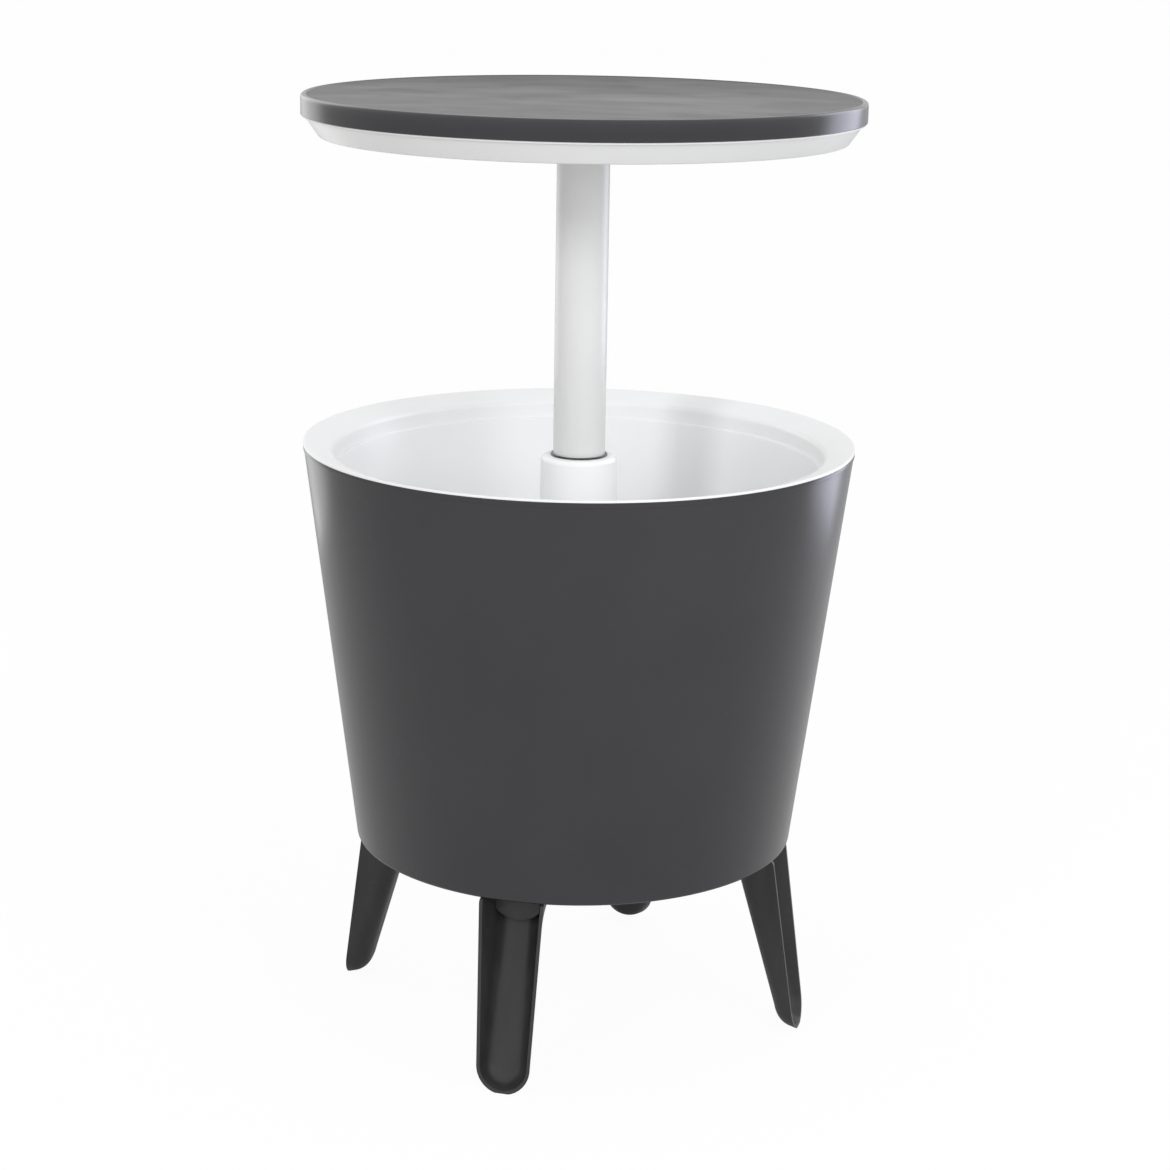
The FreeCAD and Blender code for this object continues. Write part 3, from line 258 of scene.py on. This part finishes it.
def finish_piece(name, bm, material, slot, body, *replaced):
    """The finished mesh as an object that rides on its body and stands for its nodes."""
    for face in bm.faces:
        face.smooth = True
    for edge in bm.edges:
        edge.smooth = edge.calc_face_angle(0) < crease_angle
    mesh = bpy.data.meshes.new(name)
    bm.to_mesh(mesh)
    bm.free()
    mesh.materials.append(material)
    piece = bpy.data.objects.new(name, mesh)
    scene.collection.objects.link(piece)
    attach(piece, body)
    if replaced:
        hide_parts(*replaced)
    return piece


shell_low, shell_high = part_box("outer_shell")
tub_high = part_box("inner_tub")[1]
rim_radius = tub_high.x
rim_height = tub_high.z
shell_bottom = shell_low.z
top_raise = 0.0005
shell_top = shell_high.z + top_raise
shell_wall = 0.003
shell_floor = shell_bottom + shell_wall
vent_radius = 0.012
base_radius = 0.2015
base_round = 0.0037
shell_lean = (rim_radius - base_radius) / (rim_height - shell_bottom)
band_radius = shell_high.x
band_height = 0.0046
band_bottom = shell_top - band_height
band_chamfer = 0.0005
band_step_round = 0.0003


def shell_radius(height):
    """Outside of the shell at a height."""
    return base_radius + shell_lean * (height - shell_bottom)


bm = spun([
    (vent_radius, shell_bottom),
    (base_radius, shell_bottom),
    (shell_radius(band_bottom), band_bottom),
    (band_radius, band_bottom),
    (band_radius, shell_top),
    (shell_radius(shell_top) - shell_wall, shell_top),
    (shell_radius(shell_floor) - shell_wall, shell_floor),
    (vent_radius, shell_floor),
])
soften(bm, (base_radius, shell_bottom), base_round, 6)
soften(bm, (band_radius, shell_top), band_chamfer, 2)
soften(bm, (band_radius, band_bottom), band_step_round, 2)
finish_piece("bucket_shell", bm, shell_dark, "dark_plastic", "cooler", "outer_shell")

# Inner tub: white polypropylene liner with a sloped rim that lies on the shell's top
# edge, a ledge below it and a wide rounded floor with the drain hole.

tub_wall = 0.003
tub_floor = 0.240
tub_under = tub_floor - tub_wall
floor_inset = 0.02673
floor_radius = shell_radius(tub_floor) - floor_inset
floor_round = 0.0124
floor_round_under = 0.0145
column_hole = 0.034
drain_distance = 0.120
drain_place = drain_distance * math.sqrt(0.5)
drain_hole = 0.0128
drain_depth = 0.02
rim_round = 0.0008
rim_land = 0.0019
land_round = 0.0006
flange_width = 0.027
flange_drop = 0.0084
flange_inner = rim_radius - flange_width
flange_low = rim_height - flange_drop
flange_under = flange_low - tub_wall
flange_slope = flange_drop / (flange_width - rim_land)
flange_round = 0.004
ledge_drop = 0.015
ledge_lean = 0.121
ledge_width = 0.0023
ledge_height = flange_low - ledge_drop
ledge_under = ledge_height - tub_wall
ledge_outer = flange_inner - ledge_lean * ledge_drop
ledge_inner = ledge_outer - ledge_width
ledge_round = 0.0011
skirt_drop = 0.010
skirt_gap = 0.0033
skirt_wall = 0.0024
skirt_bottom = shell_top - skirt_drop
skirt_outer = shell_radius(skirt_bottom) - skirt_gap
skirt_inner = skirt_outer - skirt_wall
skirt_root = flange_under + (skirt_inner - flange_inner) * flange_slope

# Draw marks: the tub's wall keeps faint upright streaks from sliding off its core.
tub_white, tree, shader = new_material("white tub plastic", (0.89, 0.895, 0.90), 0.3)
place = object_place(tree)
skin = place_group(tree, "Moulded skin", {"Vector": place, "Grains": 700, "Clouds": 8})
flat = add(tree, "VectorMath", {0: place, 1: (1, 1, 0)}, operation="MULTIPLY")
around = add(tree, "VectorMath", {0: flat.outputs["Vector"]}, operation="NORMALIZE")
streaks = add(tree, "TexNoise", {"Vector": around.outputs["Vector"], "Scale": 7.0, "Detail": 1.0})
drawn = add(tree, "MapRange", {"Value": streaks.outputs["Fac"], "From Min": 0.2, "From Max": 0.8})
dress(
    tree,
    shader,
    tone=(skin["Cloud"], (0.865, 0.868, 0.870), (0.845, 0.850, 0.856)),
    gloss=(drawn.outputs["Result"], 0.29, 0.42),
    relief=(skin["Relief"], 0.00002),
)


def pierce(piece, bm):
    """Cuts the shape in bm out of a piece."""
    mesh = bpy.data.meshes.new("cutter")
    bm.to_mesh(mesh)
    bm.free()
    cutter = bpy.data.objects.new("cutter", mesh)
    scene.collection.objects.link(cutter)
    hole = piece.modifiers.new("hole", "BOOLEAN")
    hole.operation = "DIFFERENCE"
    hole.solver = "EXACT"
    hole.object = cutter
    bpy.context.view_layer.update()
    evaluated = piece.evaluated_get(bpy.context.evaluated_depsgraph_get())
    cut = bpy.data.meshes.new_from_object(evaluated)
    piece.modifiers.clear()
    piece.data = cut
    bpy.data.objects.remove(cutter)


bm = spun([
    (column_hole, tub_under),
    (floor_radius + tub_wall, tub_under),
    (ledge_inner + tub_wall, ledge_under),
    (ledge_outer + tub_wall, ledge_under),
    (flange_inner + tub_wall, flange_under),
    (skirt_inner, skirt_root),
    (skirt_inner, skirt_bottom),
    (skirt_outer, skirt_bottom),
    (skirt_outer, shell_top),
    (rim_radius, shell_top),
    (rim_radius, rim_height),
    (rim_radius - rim_land, rim_height),
    (flange_inner, flange_low),
    (ledge_outer, ledge_height),
    (ledge_inner, ledge_height),
    (floor_radius, tub_floor),
    (column_hole, tub_floor),
])
soften(bm, (floor_radius, tub_floor), floor_round, 10)
soften(bm, (floor_radius + tub_wall, tub_under), floor_round_under, 10)
soften(bm, (rim_radius, rim_height), rim_round, 4)
soften(bm, (rim_radius - rim_land, rim_height), land_round, 3)
soften(bm, (flange_inner, flange_low), flange_round, 8)
soften(bm, (ledge_outer, ledge_height), ledge_round, 4)
soften(bm, (ledge_inner, ledge_height), ledge_round, 4)
tub = finish_piece("white_tub", bm, tub_white, "white_plastic", "cooler", "inner_tub")
bm = bmesh.new()
bmesh.ops.create_cone(
    bm,
    cap_ends=True,
    segments=64,
    radius1=drain_hole,
    radius2=drain_hole,
    depth=drain_depth,
)
bmesh.ops.translate(bm, verts=bm.verts, vec=(drain_place, drain_place, tub_floor))
pierce(tub, bm)

# The rim's outer edge has a darker white of its own, only because it clips in this
# light. The photograph doesn't show it darker, and in places it still clips.
rim_white = plastic(
    "white rim edge",
    colour=(0.76, 0.76, 0.755),
    pale=(0.78, 0.78, 0.775),
    smooth=0.30,
    rough=0.38,
    grains=700,
    relief=0.00002,
    clouds=6,
    mark=0.3,
)
tub.data.materials.append(rim_white)
facing_out = 0.3
for polygon in tub.data.polygons:
    outward = Vector((polygon.center.x, polygon.center.y, 0)).normalized()
    if polygon.center.z > shell_top and polygon.normal.dot(outward) > facing_out:
        polygon.material_index = 1

# Tub column: white tube welded to the tub's floor by its foot flange. The pole runs
# in a grooved sleeve inside it, and the shoulder at its top holds the dark ring.

slim_steps = 96
column_drop = 0.0142
column_top = rim_height - column_drop
column_radius = 0.0345
column_bore = 0.0315
column_round = 0.005
shoulder_bottom = column_top - tub_wall
shoulder_hole = 0.0256
foot_radius = 0.037
foot_flange = 0.009
foot_rise = 0.0025
foot_top = tub_floor + foot_rise
foot_round = 0.006
foot_edge_round = 0.0008
bm = spun([
    (shoulder_hole, shoulder_bottom),
    (column_bore, shoulder_bottom),
    (column_hole, tub_floor),
    (foot_radius + foot_flange, tub_floor),
    (foot_radius + foot_flange, foot_top),
    (foot_radius, foot_top),
    (column_radius, column_top),
    (shoulder_hole, column_top),
], slim_steps)
soften(bm, (foot_radius, foot_top), foot_round, 6)
soften(bm, (column_radius, column_top), column_round, 8)
soften(bm, (foot_radius + foot_flange, foot_top), foot_edge_round, 3)
finish_piece("centre_column", bm, tub_white, "white_plastic", "cooler", "tub_column")

# Lock ring: dark plastic ring pressed through the column's shoulder into the sleeve's
# mouth. Its rounded flange is the fine dark line at the pole's foot.

ring_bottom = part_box("lock_ring")[0].z
ring_bore = 0.0238
ring_seat = 0.0252
ring_radius = 0.0257
ring_rise = 0.0016
ring_top = column_top + ring_rise
ring_round = 0.0006
ring_mouth_round = 0.0004
bm = spun([
    (ring_bore, ring_bottom),
    (ring_seat, ring_bottom),
    (ring_seat, column_top),
    (ring_radius, column_top),
    (ring_radius, ring_top),
    (ring_bore, ring_top),
], slim_steps)
soften(bm, (ring_radius, ring_top), ring_round, 4)
soften(bm, (ring_bore, ring_top), ring_mouth_round, 3)
finish_piece("dark_ring", bm, shell_dark, "dark_plastic", "cooler", "lock_ring")

# Guide sleeve, foot runner and pole foot: grey acetal parts inside the column, plain
# and slightly waxy. Screws and the foot washer are zinc-plated steel.

grey_waxy = plastic(
    "grey acetal",
    colour=(0.28, 0.29, 0.30),
    pale=(0.33, 0.34, 0.35),
    smooth=0.3,
    rough=0.4,
    grains=600,
    relief=0.00002,
    clouds=12,
    mark=0.4,
)
screw_steel, tree, shader = new_material("zinc-plated steel", (0.56, 0.56, 0.57), 0.3)
shader.inputs["Metallic"].default_value = 1.0
place = object_place(tree)
skin = place_group(tree, "Moulded skin", {"Vector": place, "Grains": 2500, "Clouds": 260})
dress(
    tree,
    shader,
    tone=(skin["Cloud"], (0.50, 0.50, 0.52), (0.62, 0.62, 0.61)),
    gloss=(skin["Cloud"], 0.29, 0.42),
    relief=(skin["Relief"], 0.00001),
    strength=0.4,
)


def paint(material, *names):
    """Gives CAD nodes a material."""
    for name in names:
        for slot in nodes[name].material_slots:
            slot.material = material


paint(grey_waxy, "guide_sleeve", "foot_slider", "pole_foot")
paint(
    screw_steel,
    "sleeve_screws",
    "foot_screw",
    "foot_washer",
    "hub_screws",
    "lid_screws",
    "pole_screws",
    "socket_screws",
    "leg_screws",
)

# Lifting pole: white plastic tube with a soft sheen, fixed in a hub under the table top.
# It slides in the sleeve and its foot carries the locking lugs.

white_plain = plastic(
    "white moulded plastic",
    colour=(0.715, 0.715, 0.708),
    pale=(0.745, 0.745, 0.738),
    smooth=0.30,
    rough=0.38,
    grains=700,
    relief=0.00002,
    clouds=6,
    mark=0.3,
)
pole_low, pole_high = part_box("pole")
pole_radius = pole_high.x
pole_wall = 0.0025
pole_bore = pole_radius - pole_wall
pole_round = 0.0004
bm = spun([
    (pole_bore, pole_low.z),
    (pole_radius, pole_low.z),
    (pole_radius, pole_high.z),
    (pole_bore, pole_high.z),
], slim_steps)
soften(bm, (pole_radius, pole_low.z), pole_round, 2)
finish_piece("lift_pole", bm, white_plain, "white_plastic", "table", "pole")
paint(white_plain, "pole_hub")

# Lid underside: white dish that closes the tub when the table is down. It is screwed
# to the table top from below, and a short collar guides the pole into its hub.

plate_low, plate_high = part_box("table_top")
table_radius = plate_high.x
edge_bottom = plate_low.z
dish_edge_inset = 0.0013
dish_edge_radius = table_radius - dish_edge_inset
dish_edge = 0.0016
dish_top = edge_bottom - dish_edge
dish_inset = 0.0035
dish_top_radius = table_radius - dish_inset
dish_taper = 0.012
dish_bottom_radius = dish_top_radius - dish_taper
dish_depth = 0.0169
dish_bottom = dish_top - dish_depth
dish_wall = 0.003
dish_ledge = 0.004
dish_round = 0.00129
dish_edge_round = 0.0005
collar_bore = 0.0238
collar_drop = 0.004
collar_bottom = dish_bottom - collar_drop
collar_wall = 0.0017
collar_root = 0.004
collar_end_radius = collar_bore + collar_wall
collar_root_radius = collar_bore + collar_root
collar_end_round = 0.0004
collar_root_round = 0.0008
bm = spun([
    (collar_bore, collar_bottom),
    (collar_end_radius, collar_bottom),
    (collar_root_radius, dish_bottom),
    (dish_bottom_radius, dish_bottom),
    (dish_top_radius, dish_top),
    (dish_edge_radius, dish_top),
    (dish_edge_radius, edge_bottom),
    (dish_top_radius - dish_ledge, edge_bottom),
    (dish_bottom_radius - dish_wall, dish_bottom + dish_wall),
    (collar_bore, dish_bottom + dish_wall),
])
soften(bm, (dish_bottom_radius, dish_bottom), dish_round, 6)
soften(bm, (dish_edge_radius, dish_top), dish_edge_round, 3)
soften(bm, (collar_root_radius, dish_bottom), collar_root_round, 3)
soften(bm, (collar_end_radius, collar_bottom), collar_end_round, 2)
finish_piece("lid_dish", bm, white_plain, "white_plastic", "table", "lid_underside")

# Table top: dark moulded plate with a deep edge band and a low raised lip that keeps
# glasses on. Its face has a wiped, slightly cloudy sheen.

lip_top = plate_high.z
lip_rise = 0.0007
lip_width = 0.004
lip_inner = table_radius - lip_width
lip_slope = 0.0006
lip_round = 0.003
lip_inner_round = 0.0006
face_height = lip_top - lip_rise
face_radius = lip_inner - lip_slope
face_round = 0.0005
skin_depth = 0.0047
skin_under = lip_top - skin_depth
band_wall = 0.003
band_round = 0.0008
bm = spun([
    (0, face_height),
    (face_radius, face_height),
    (lip_inner, lip_top),
    (table_radius, lip_top),
    (table_radius, edge_bottom),
    (table_radius - band_wall, edge_bottom),
    (table_radius - band_wall, skin_under),
    (0, skin_under),
])
soften(bm, (table_radius, lip_top), lip_round, 6)
soften(bm, (table_radius, edge_bottom), band_round, 4)
soften(bm, (lip_inner, lip_top), lip_inner_round, 3)
soften(bm, (face_radius, face_height), face_round, 2)
plate = finish_piece("table_plate", bm, shell_dark, "dark_plastic", "table", "table_top")

wiped_dark, tree, shader = new_material("wiped dark plastic", (0.03, 0.03, 0.031), 0.3)
shader.inputs["Specular IOR Level"].default_value = 0.12
shader.inputs["Coat Roughness"].default_value = 0.12
place = object_place(tree)
skin = place_group(tree, "Moulded skin", {"Vector": place, "Grains": 700, "Clouds": 11})
wipe = add(
    tree,
    "Mapping",
    {
        "Vector": place,
        "Location": (3.7, 1.3, 0),
        "Rotation": (0, 0, math.radians(15)),
        "Scale": (12, 20, 1),
    },
).outputs["Vector"]
smear = add(tree, "TexNoise", {"Vector": wipe, "Scale": 1.0, "Detail": 5.0, "Distortion": 0.5})
film = add(
    tree,
    "MapRange",
    {"Value": smear.outputs["Fac"], "From Min": 0.32, "From Max": 0.68},
).outputs["Result"]
dress(
    tree,
    shader,
    tone=(skin["Cloud"], (0.027, 0.026, 0.028), (0.035, 0.0335, 0.036)),
    gloss=(film, 0.34, 0.4),
    relief=(skin["Relief"], 0.00004),
)
wax = add(tree, "MapRange", {"Value": film, "To Min": 0.10, "To Max": 0.05})
tree.links.new(wax.outputs["Result"], shader.inputs["Coat Weight"])
plate.data.materials.append(wiped_dark)
facing_up = 0.9
face_tolerance = 1e-5
for polygon in plate.data.polygons:
    at_face = abs(polygon.center.z - face_height) < face_tolerance
    if at_face and polygon.normal.z > facing_up:
        polygon.material_index = 1

# Sockets: dark brackets screwed to the shell's floor inside the bucket. Their rounded
# plugs pass through it, and the plugs' faces show at the top of the legs' open fronts.

leg_dark = plastic(
    "dark leg plastic",
    colour=(0.0225, 0.0222, 0.0226),
    pale=(0.0340, 0.0334, 0.0330),
    smooth=0.32,
    rough=0.44,
    grains=800,
    relief=0.00003,
    clouds=60,
    mark=0.5,
    drawn=(1, 1, 0.25),
)
paint(leg_dark, "socket_right", "socket_rear", "socket_left", "socket_front")

leg_sides = ("right", "rear", "left", "front")
quarter_turn = math.pi / 2
leg_front_x = 0.191
leg_front_half = 0.0278
leg_side_slope = 0.0713
leg_draft = math.tan(math.radians(15))
leg_wall = 0.0032
leg_inside_half = leg_front_half - leg_wall
plug_front = 0.1785
plug_back = 0.1705
plug_round = 0.0275
plug_drop = 0.025
plug_middle = ((plug_front + plug_back) / 2, 0, shell_bottom - plug_drop + plug_round)
plug_overlap = 0.001
plug_top = shell_bottom + plug_overlap
plug_edge_round = 0.0006
plug_cuts = (
    ((leg_front_x, leg_inside_half, shell_bottom), (-leg_draft, 1, -leg_side_slope)),
    ((leg_front_x, -leg_inside_half, shell_bottom), (-leg_draft, -1, -leg_side_slope)),
    ((0, 0, plug_top), (0, 0, 1)),
)
lying = Matrix.Rotation(quarter_turn, 3, "Y")
for quarter, side in enumerate(leg_sides):
    turned = Matrix.Rotation(quarter * quarter_turn, 3, "Z")
    bm = bmesh.new()
    bmesh.ops.create_cone(
        bm,
        cap_ends=True,
        segments=120,
        radius1=plug_round,
        radius2=plug_round,
        depth=plug_front - plug_back,
    )
    bmesh.ops.rotate(bm, verts=bm.verts, cent=(0, 0, 0), matrix=lying)
    bmesh.ops.translate(bm, verts=bm.verts, vec=plug_middle)
    for point, normal in plug_cuts:
        bmesh.ops.bisect_plane(
            bm,
            geom=bm.verts[:] + bm.edges[:] + bm.faces[:],
            plane_co=point,
            plane_no=normal,
            clear_outer=True,
        )
        bmesh.ops.holes_fill(bm, edges=bm.edges[:], sides=0)
    front = plug_front - merge_distance
    rim = [edge for edge in bm.edges if all(v.co.x > front for v in edge.verts)]
    round_off(bm, rim, plug_edge_round, 3)
    bmesh.ops.rotate(bm, verts=bm.verts, cent=(0, 0, 0), matrix=turned)
    bmesh.ops.recalc_face_normals(bm, faces=bm.faces)
    finish_piece(f"leg_plug_{side}", bm, leg_dark, "dark_plastic", "cooler")

# Legs: four dark channels with rounded toes, open to the outside. Each is screwed to
# its bracket through a plate, and flares softly where it meets the shell's floor.

leg_edge_round = 0.0005
leg_crease = math.radians(35)
leg_back_x = 0.1544
leg_back_slope = 0.2997
corner_angle = math.radians(37.5)
corner_radius = 0.019
corner_segments = 8
side_cuts = 6
flare_reach = 0.014
flare_rise = 0.034
flare_root = -0.0015
flare_steps = 12
flare_bends = [quarter_turn * step / flare_steps for step in range(flare_steps + 1)]
flare_section = [
    (flare_reach * (1 - math.cos(bend)), flare_rise * (1 - math.sin(bend)))
    for bend in flare_bends
]
flare_section += [(flare_root, 0), (flare_root, flare_rise)]


def leg_outline(bm, offset, drop):
    """Edges round the leg's back and sides, below the shell's floor by a drop. The back
    is moved out by the offset, which fades to nothing at the leg's front."""
    half = leg_front_half - leg_side_slope * drop
    back = leg_back_x + leg_back_slope * drop
    back_half = half - (leg_front_x - back) * leg_draft + offset
    back -= offset
    ends = [(leg_front_x, -half), (back, -back_half), (back, back_half), (leg_front_x, half)]
    before = set(bm.edges)
    points = [bm.verts.new((x, y, shell_bottom - drop)) for x, y in ends]
    for pair in zip(points, points[1:]):
        bm.edges.new(pair)
    corner_width = (corner_radius + offset) * math.tan(corner_angle)
    round_off(bm, points[1:3], corner_width, corner_segments, affect="VERTICES")
    sides = [points[0].link_edges[0], points[3].link_edges[0]]
    bmesh.ops.subdivide_edges(bm, edges=sides, cuts=side_cuts)
    return [edge for edge in bm.edges if edge not in before]


for quarter, side in enumerate(leg_sides):
    bm = bmesh.new()
    bm.from_mesh(nodes[f"leg_{side}"].data)
    bmesh.ops.remove_doubles(bm, verts=bm.verts, dist=merge_distance)
    leg = finish_piece(f"channel_leg_{side}", bm, leg_dark, "dark_plastic", "cooler", f"leg_{side}")
    rounding = leg.modifiers.new("soft edges", "BEVEL")
    rounding.width = leg_edge_round
    rounding.segments = 2
    rounding.limit_method = "ANGLE"
    rounding.angle_limit = leg_crease

    turned = Matrix.Rotation(quarter * quarter_turn, 3, "Z")
    bm = bmesh.new()
    loops = [leg_outline(bm, offset, drop) for offset, drop in flare_section]
    for first, second in zip(loops, loops[1:] + loops[:1]):
        bmesh.ops.bridge_loops(bm, edges=first + second)
    bmesh.ops.holes_fill(bm, edges=bm.edges[:], sides=0)
    bmesh.ops.rotate(bm, verts=bm.verts, cent=(0, 0, 0), matrix=turned)
    bmesh.ops.recalc_face_normals(bm, faces=bm.faces)
    finish_piece(f"leg_flare_{side}", bm, leg_dark, "dark_plastic", "cooler")

# Drain: white spigot and nut through both floors with a rubber gasket, closed by a
# dark stopper with a finger grip and a rubber seal.

seal_rubber, tree, shader = new_material("seal rubber", (0.02, 0.02, 0.02), 0.7)
place = object_place(tree)
skin = place_group(tree, "Moulded skin", {"Vector": place, "Grains": 1500, "Clouds": 90})
dress(
    tree,
    shader,
    tone=(skin["Cloud"], (0.016, 0.016, 0.016), (0.030, 0.030, 0.029)),
    gloss=(skin["Cloud"], 0.6, 0.8),
)
paint(white_plain, "drain_spigot", "drain_nut")
paint(seal_rubber, "drain_gasket", "plug_seal")
paint(shell_dark, "drain_plug")

# Studio: white floor that runs out of sight. It glows for the camera, which sees it
# white but for the table's shadow, and only faintly in reflections.

floor_reach = 40
floor_glow = 1.02
glow_seen = 0.93
glow_mirrored = 0.1
bm = bmesh.new()
bmesh.ops.create_grid(bm, x_segments=1, y_segments=1, size=floor_reach)
mesh = bpy.data.meshes.new("studio_floor")
bm.to_mesh(mesh)
bm.free()
floor = bpy.data.objects.new("studio_floor", mesh)
scene.collection.objects.link(floor)
floor_white, tree, shader = new_material("studio floor", (0.64, 0.64, 0.64), 0.9)
mesh.materials.append(floor_white)
ray = add(tree, "LightPath").outputs
mirrored = add(
    tree,
    "Math",
    {0: ray["Is Glossy Ray"], 1: ray["Is Transmission Ray"]},
    operation="MAXIMUM",
).outputs["Value"]
faint = add(tree, "Math", {0: mirrored, 1: glow_mirrored}, operation="MULTIPLY").outputs["Value"]
share = add(
    tree,
    "Math",
    {0: ray["Is Camera Ray"], 1: glow_seen, 2: faint},
    operation="MULTIPLY_ADD",
).outputs["Value"]
glow = add(tree, "Emission", {"Strength": floor_glow})
mix = add(tree, "MixShader", {0: share, 1: shader.outputs[0], 2: glow.outputs[0]})
tree.links.new(mix.outputs[0], tree.nodes["Material Output"].inputs["Surface"])

# Background: pure white to the camera and in reflections, and a little dimmer as the
# soft light from all round.

sky_light = 0.85
world = bpy.data.worlds.new("studio")
world.use_nodes = True
scene.world = world
tree = world.node_tree
ray = add(tree, "LightPath").outputs
seen = add(
    tree,
    "Math",
    {0: ray["Is Camera Ray"], 1: ray["Is Glossy Ray"]},
    operation="MAXIMUM",
).outputs["Value"]
seen = add(
    tree,
    "Math",
    {0: seen, 1: ray["Is Transmission Ray"]},
    operation="MAXIMUM",
).outputs["Value"]
level = add(tree, "MapRange", {"Value": seen, "To Min": sky_light, "To Max": 1.0})
background = tree.nodes["Background"].inputs
tree.links.new(level.outputs["Result"], background["Strength"])
background["Color"].default_value = (1, 1, 1, 1)

# Lamps: two windows that light the table without a highlight, and two tall strips at
# the back that show only as reflections along the shell's left and right edges.

lamp_target = Vector((0, 0, 0.45))
for name, spot, width, height, power, colour, only_mirrored in (
    ("window_front", (-0.67, -2.51, 1.8), 0.35, 0.5, 17.5, (1, 1, 1), False),
    ("window_right", (2.1, -1.55, 1.7), 1.6, 1.6, 32, (0.95, 0.97, 1), False),
    ("strip_left", (-1.11, 0.67, 0.8), 0.7, 1.6, 3.9, (1, 1, 1), True),
    ("strip_right", (0.91, 0.93, 0.8), 0.7, 1.6, 10, (0.82, 0.84, 1), True),
):
    lamp = bpy.data.lights.new(name, "AREA")
    lamp.shape = "RECTANGLE"
    lamp.size = width
    lamp.size_y = height
    lamp.energy = power
    lamp.color = colour
    light = bpy.data.objects.new(name, lamp)
    scene.collection.objects.link(light)
    light.location = spot
    light.rotation_mode = "QUATERNION"
    light.rotation_quaternion = (lamp_target - light.location).to_track_quat("-Z", "Y")
    light.visible_camera = False
    light.visible_glossy = only_mirrored
    light.visible_diffuse = not only_mirrored

# Camera: stands 2.36 m away and 1.03 m up, between the front and the right-hand leg,
# and looks down a little, as in the photograph.

photo_width = 1170
focal_pixels = 2659.8
camera_distance = 2.3578
camera_height = 1.0316
camera_bearing = math.radians(-74.5)
camera_turn = math.radians(15.32)
camera_tilt = math.radians(-14.84)
camera_roll = math.radians(-0.95)
camera = bpy.data.objects.new("camera", bpy.data.cameras.new("camera"))
scene.collection.objects.link(camera)
camera.data.sensor_width = 36
camera.data.lens = camera.data.sensor_width * focal_pixels / photo_width
stand = Matrix.Translation((
    camera_distance * math.cos(camera_bearing),
    camera_distance * math.sin(camera_bearing),
    camera_height,
))
upright = Matrix.Rotation(math.radians(90), 4, "X")
aim = (
    Matrix.Rotation(camera_turn, 4, "Z")
    @ Matrix.Rotation(camera_tilt, 4, "X")
    @ Matrix.Rotation(camera_roll, 4, "Y")
    @ upright
)
camera.matrix_world = stand @ aim
scene.camera = camera
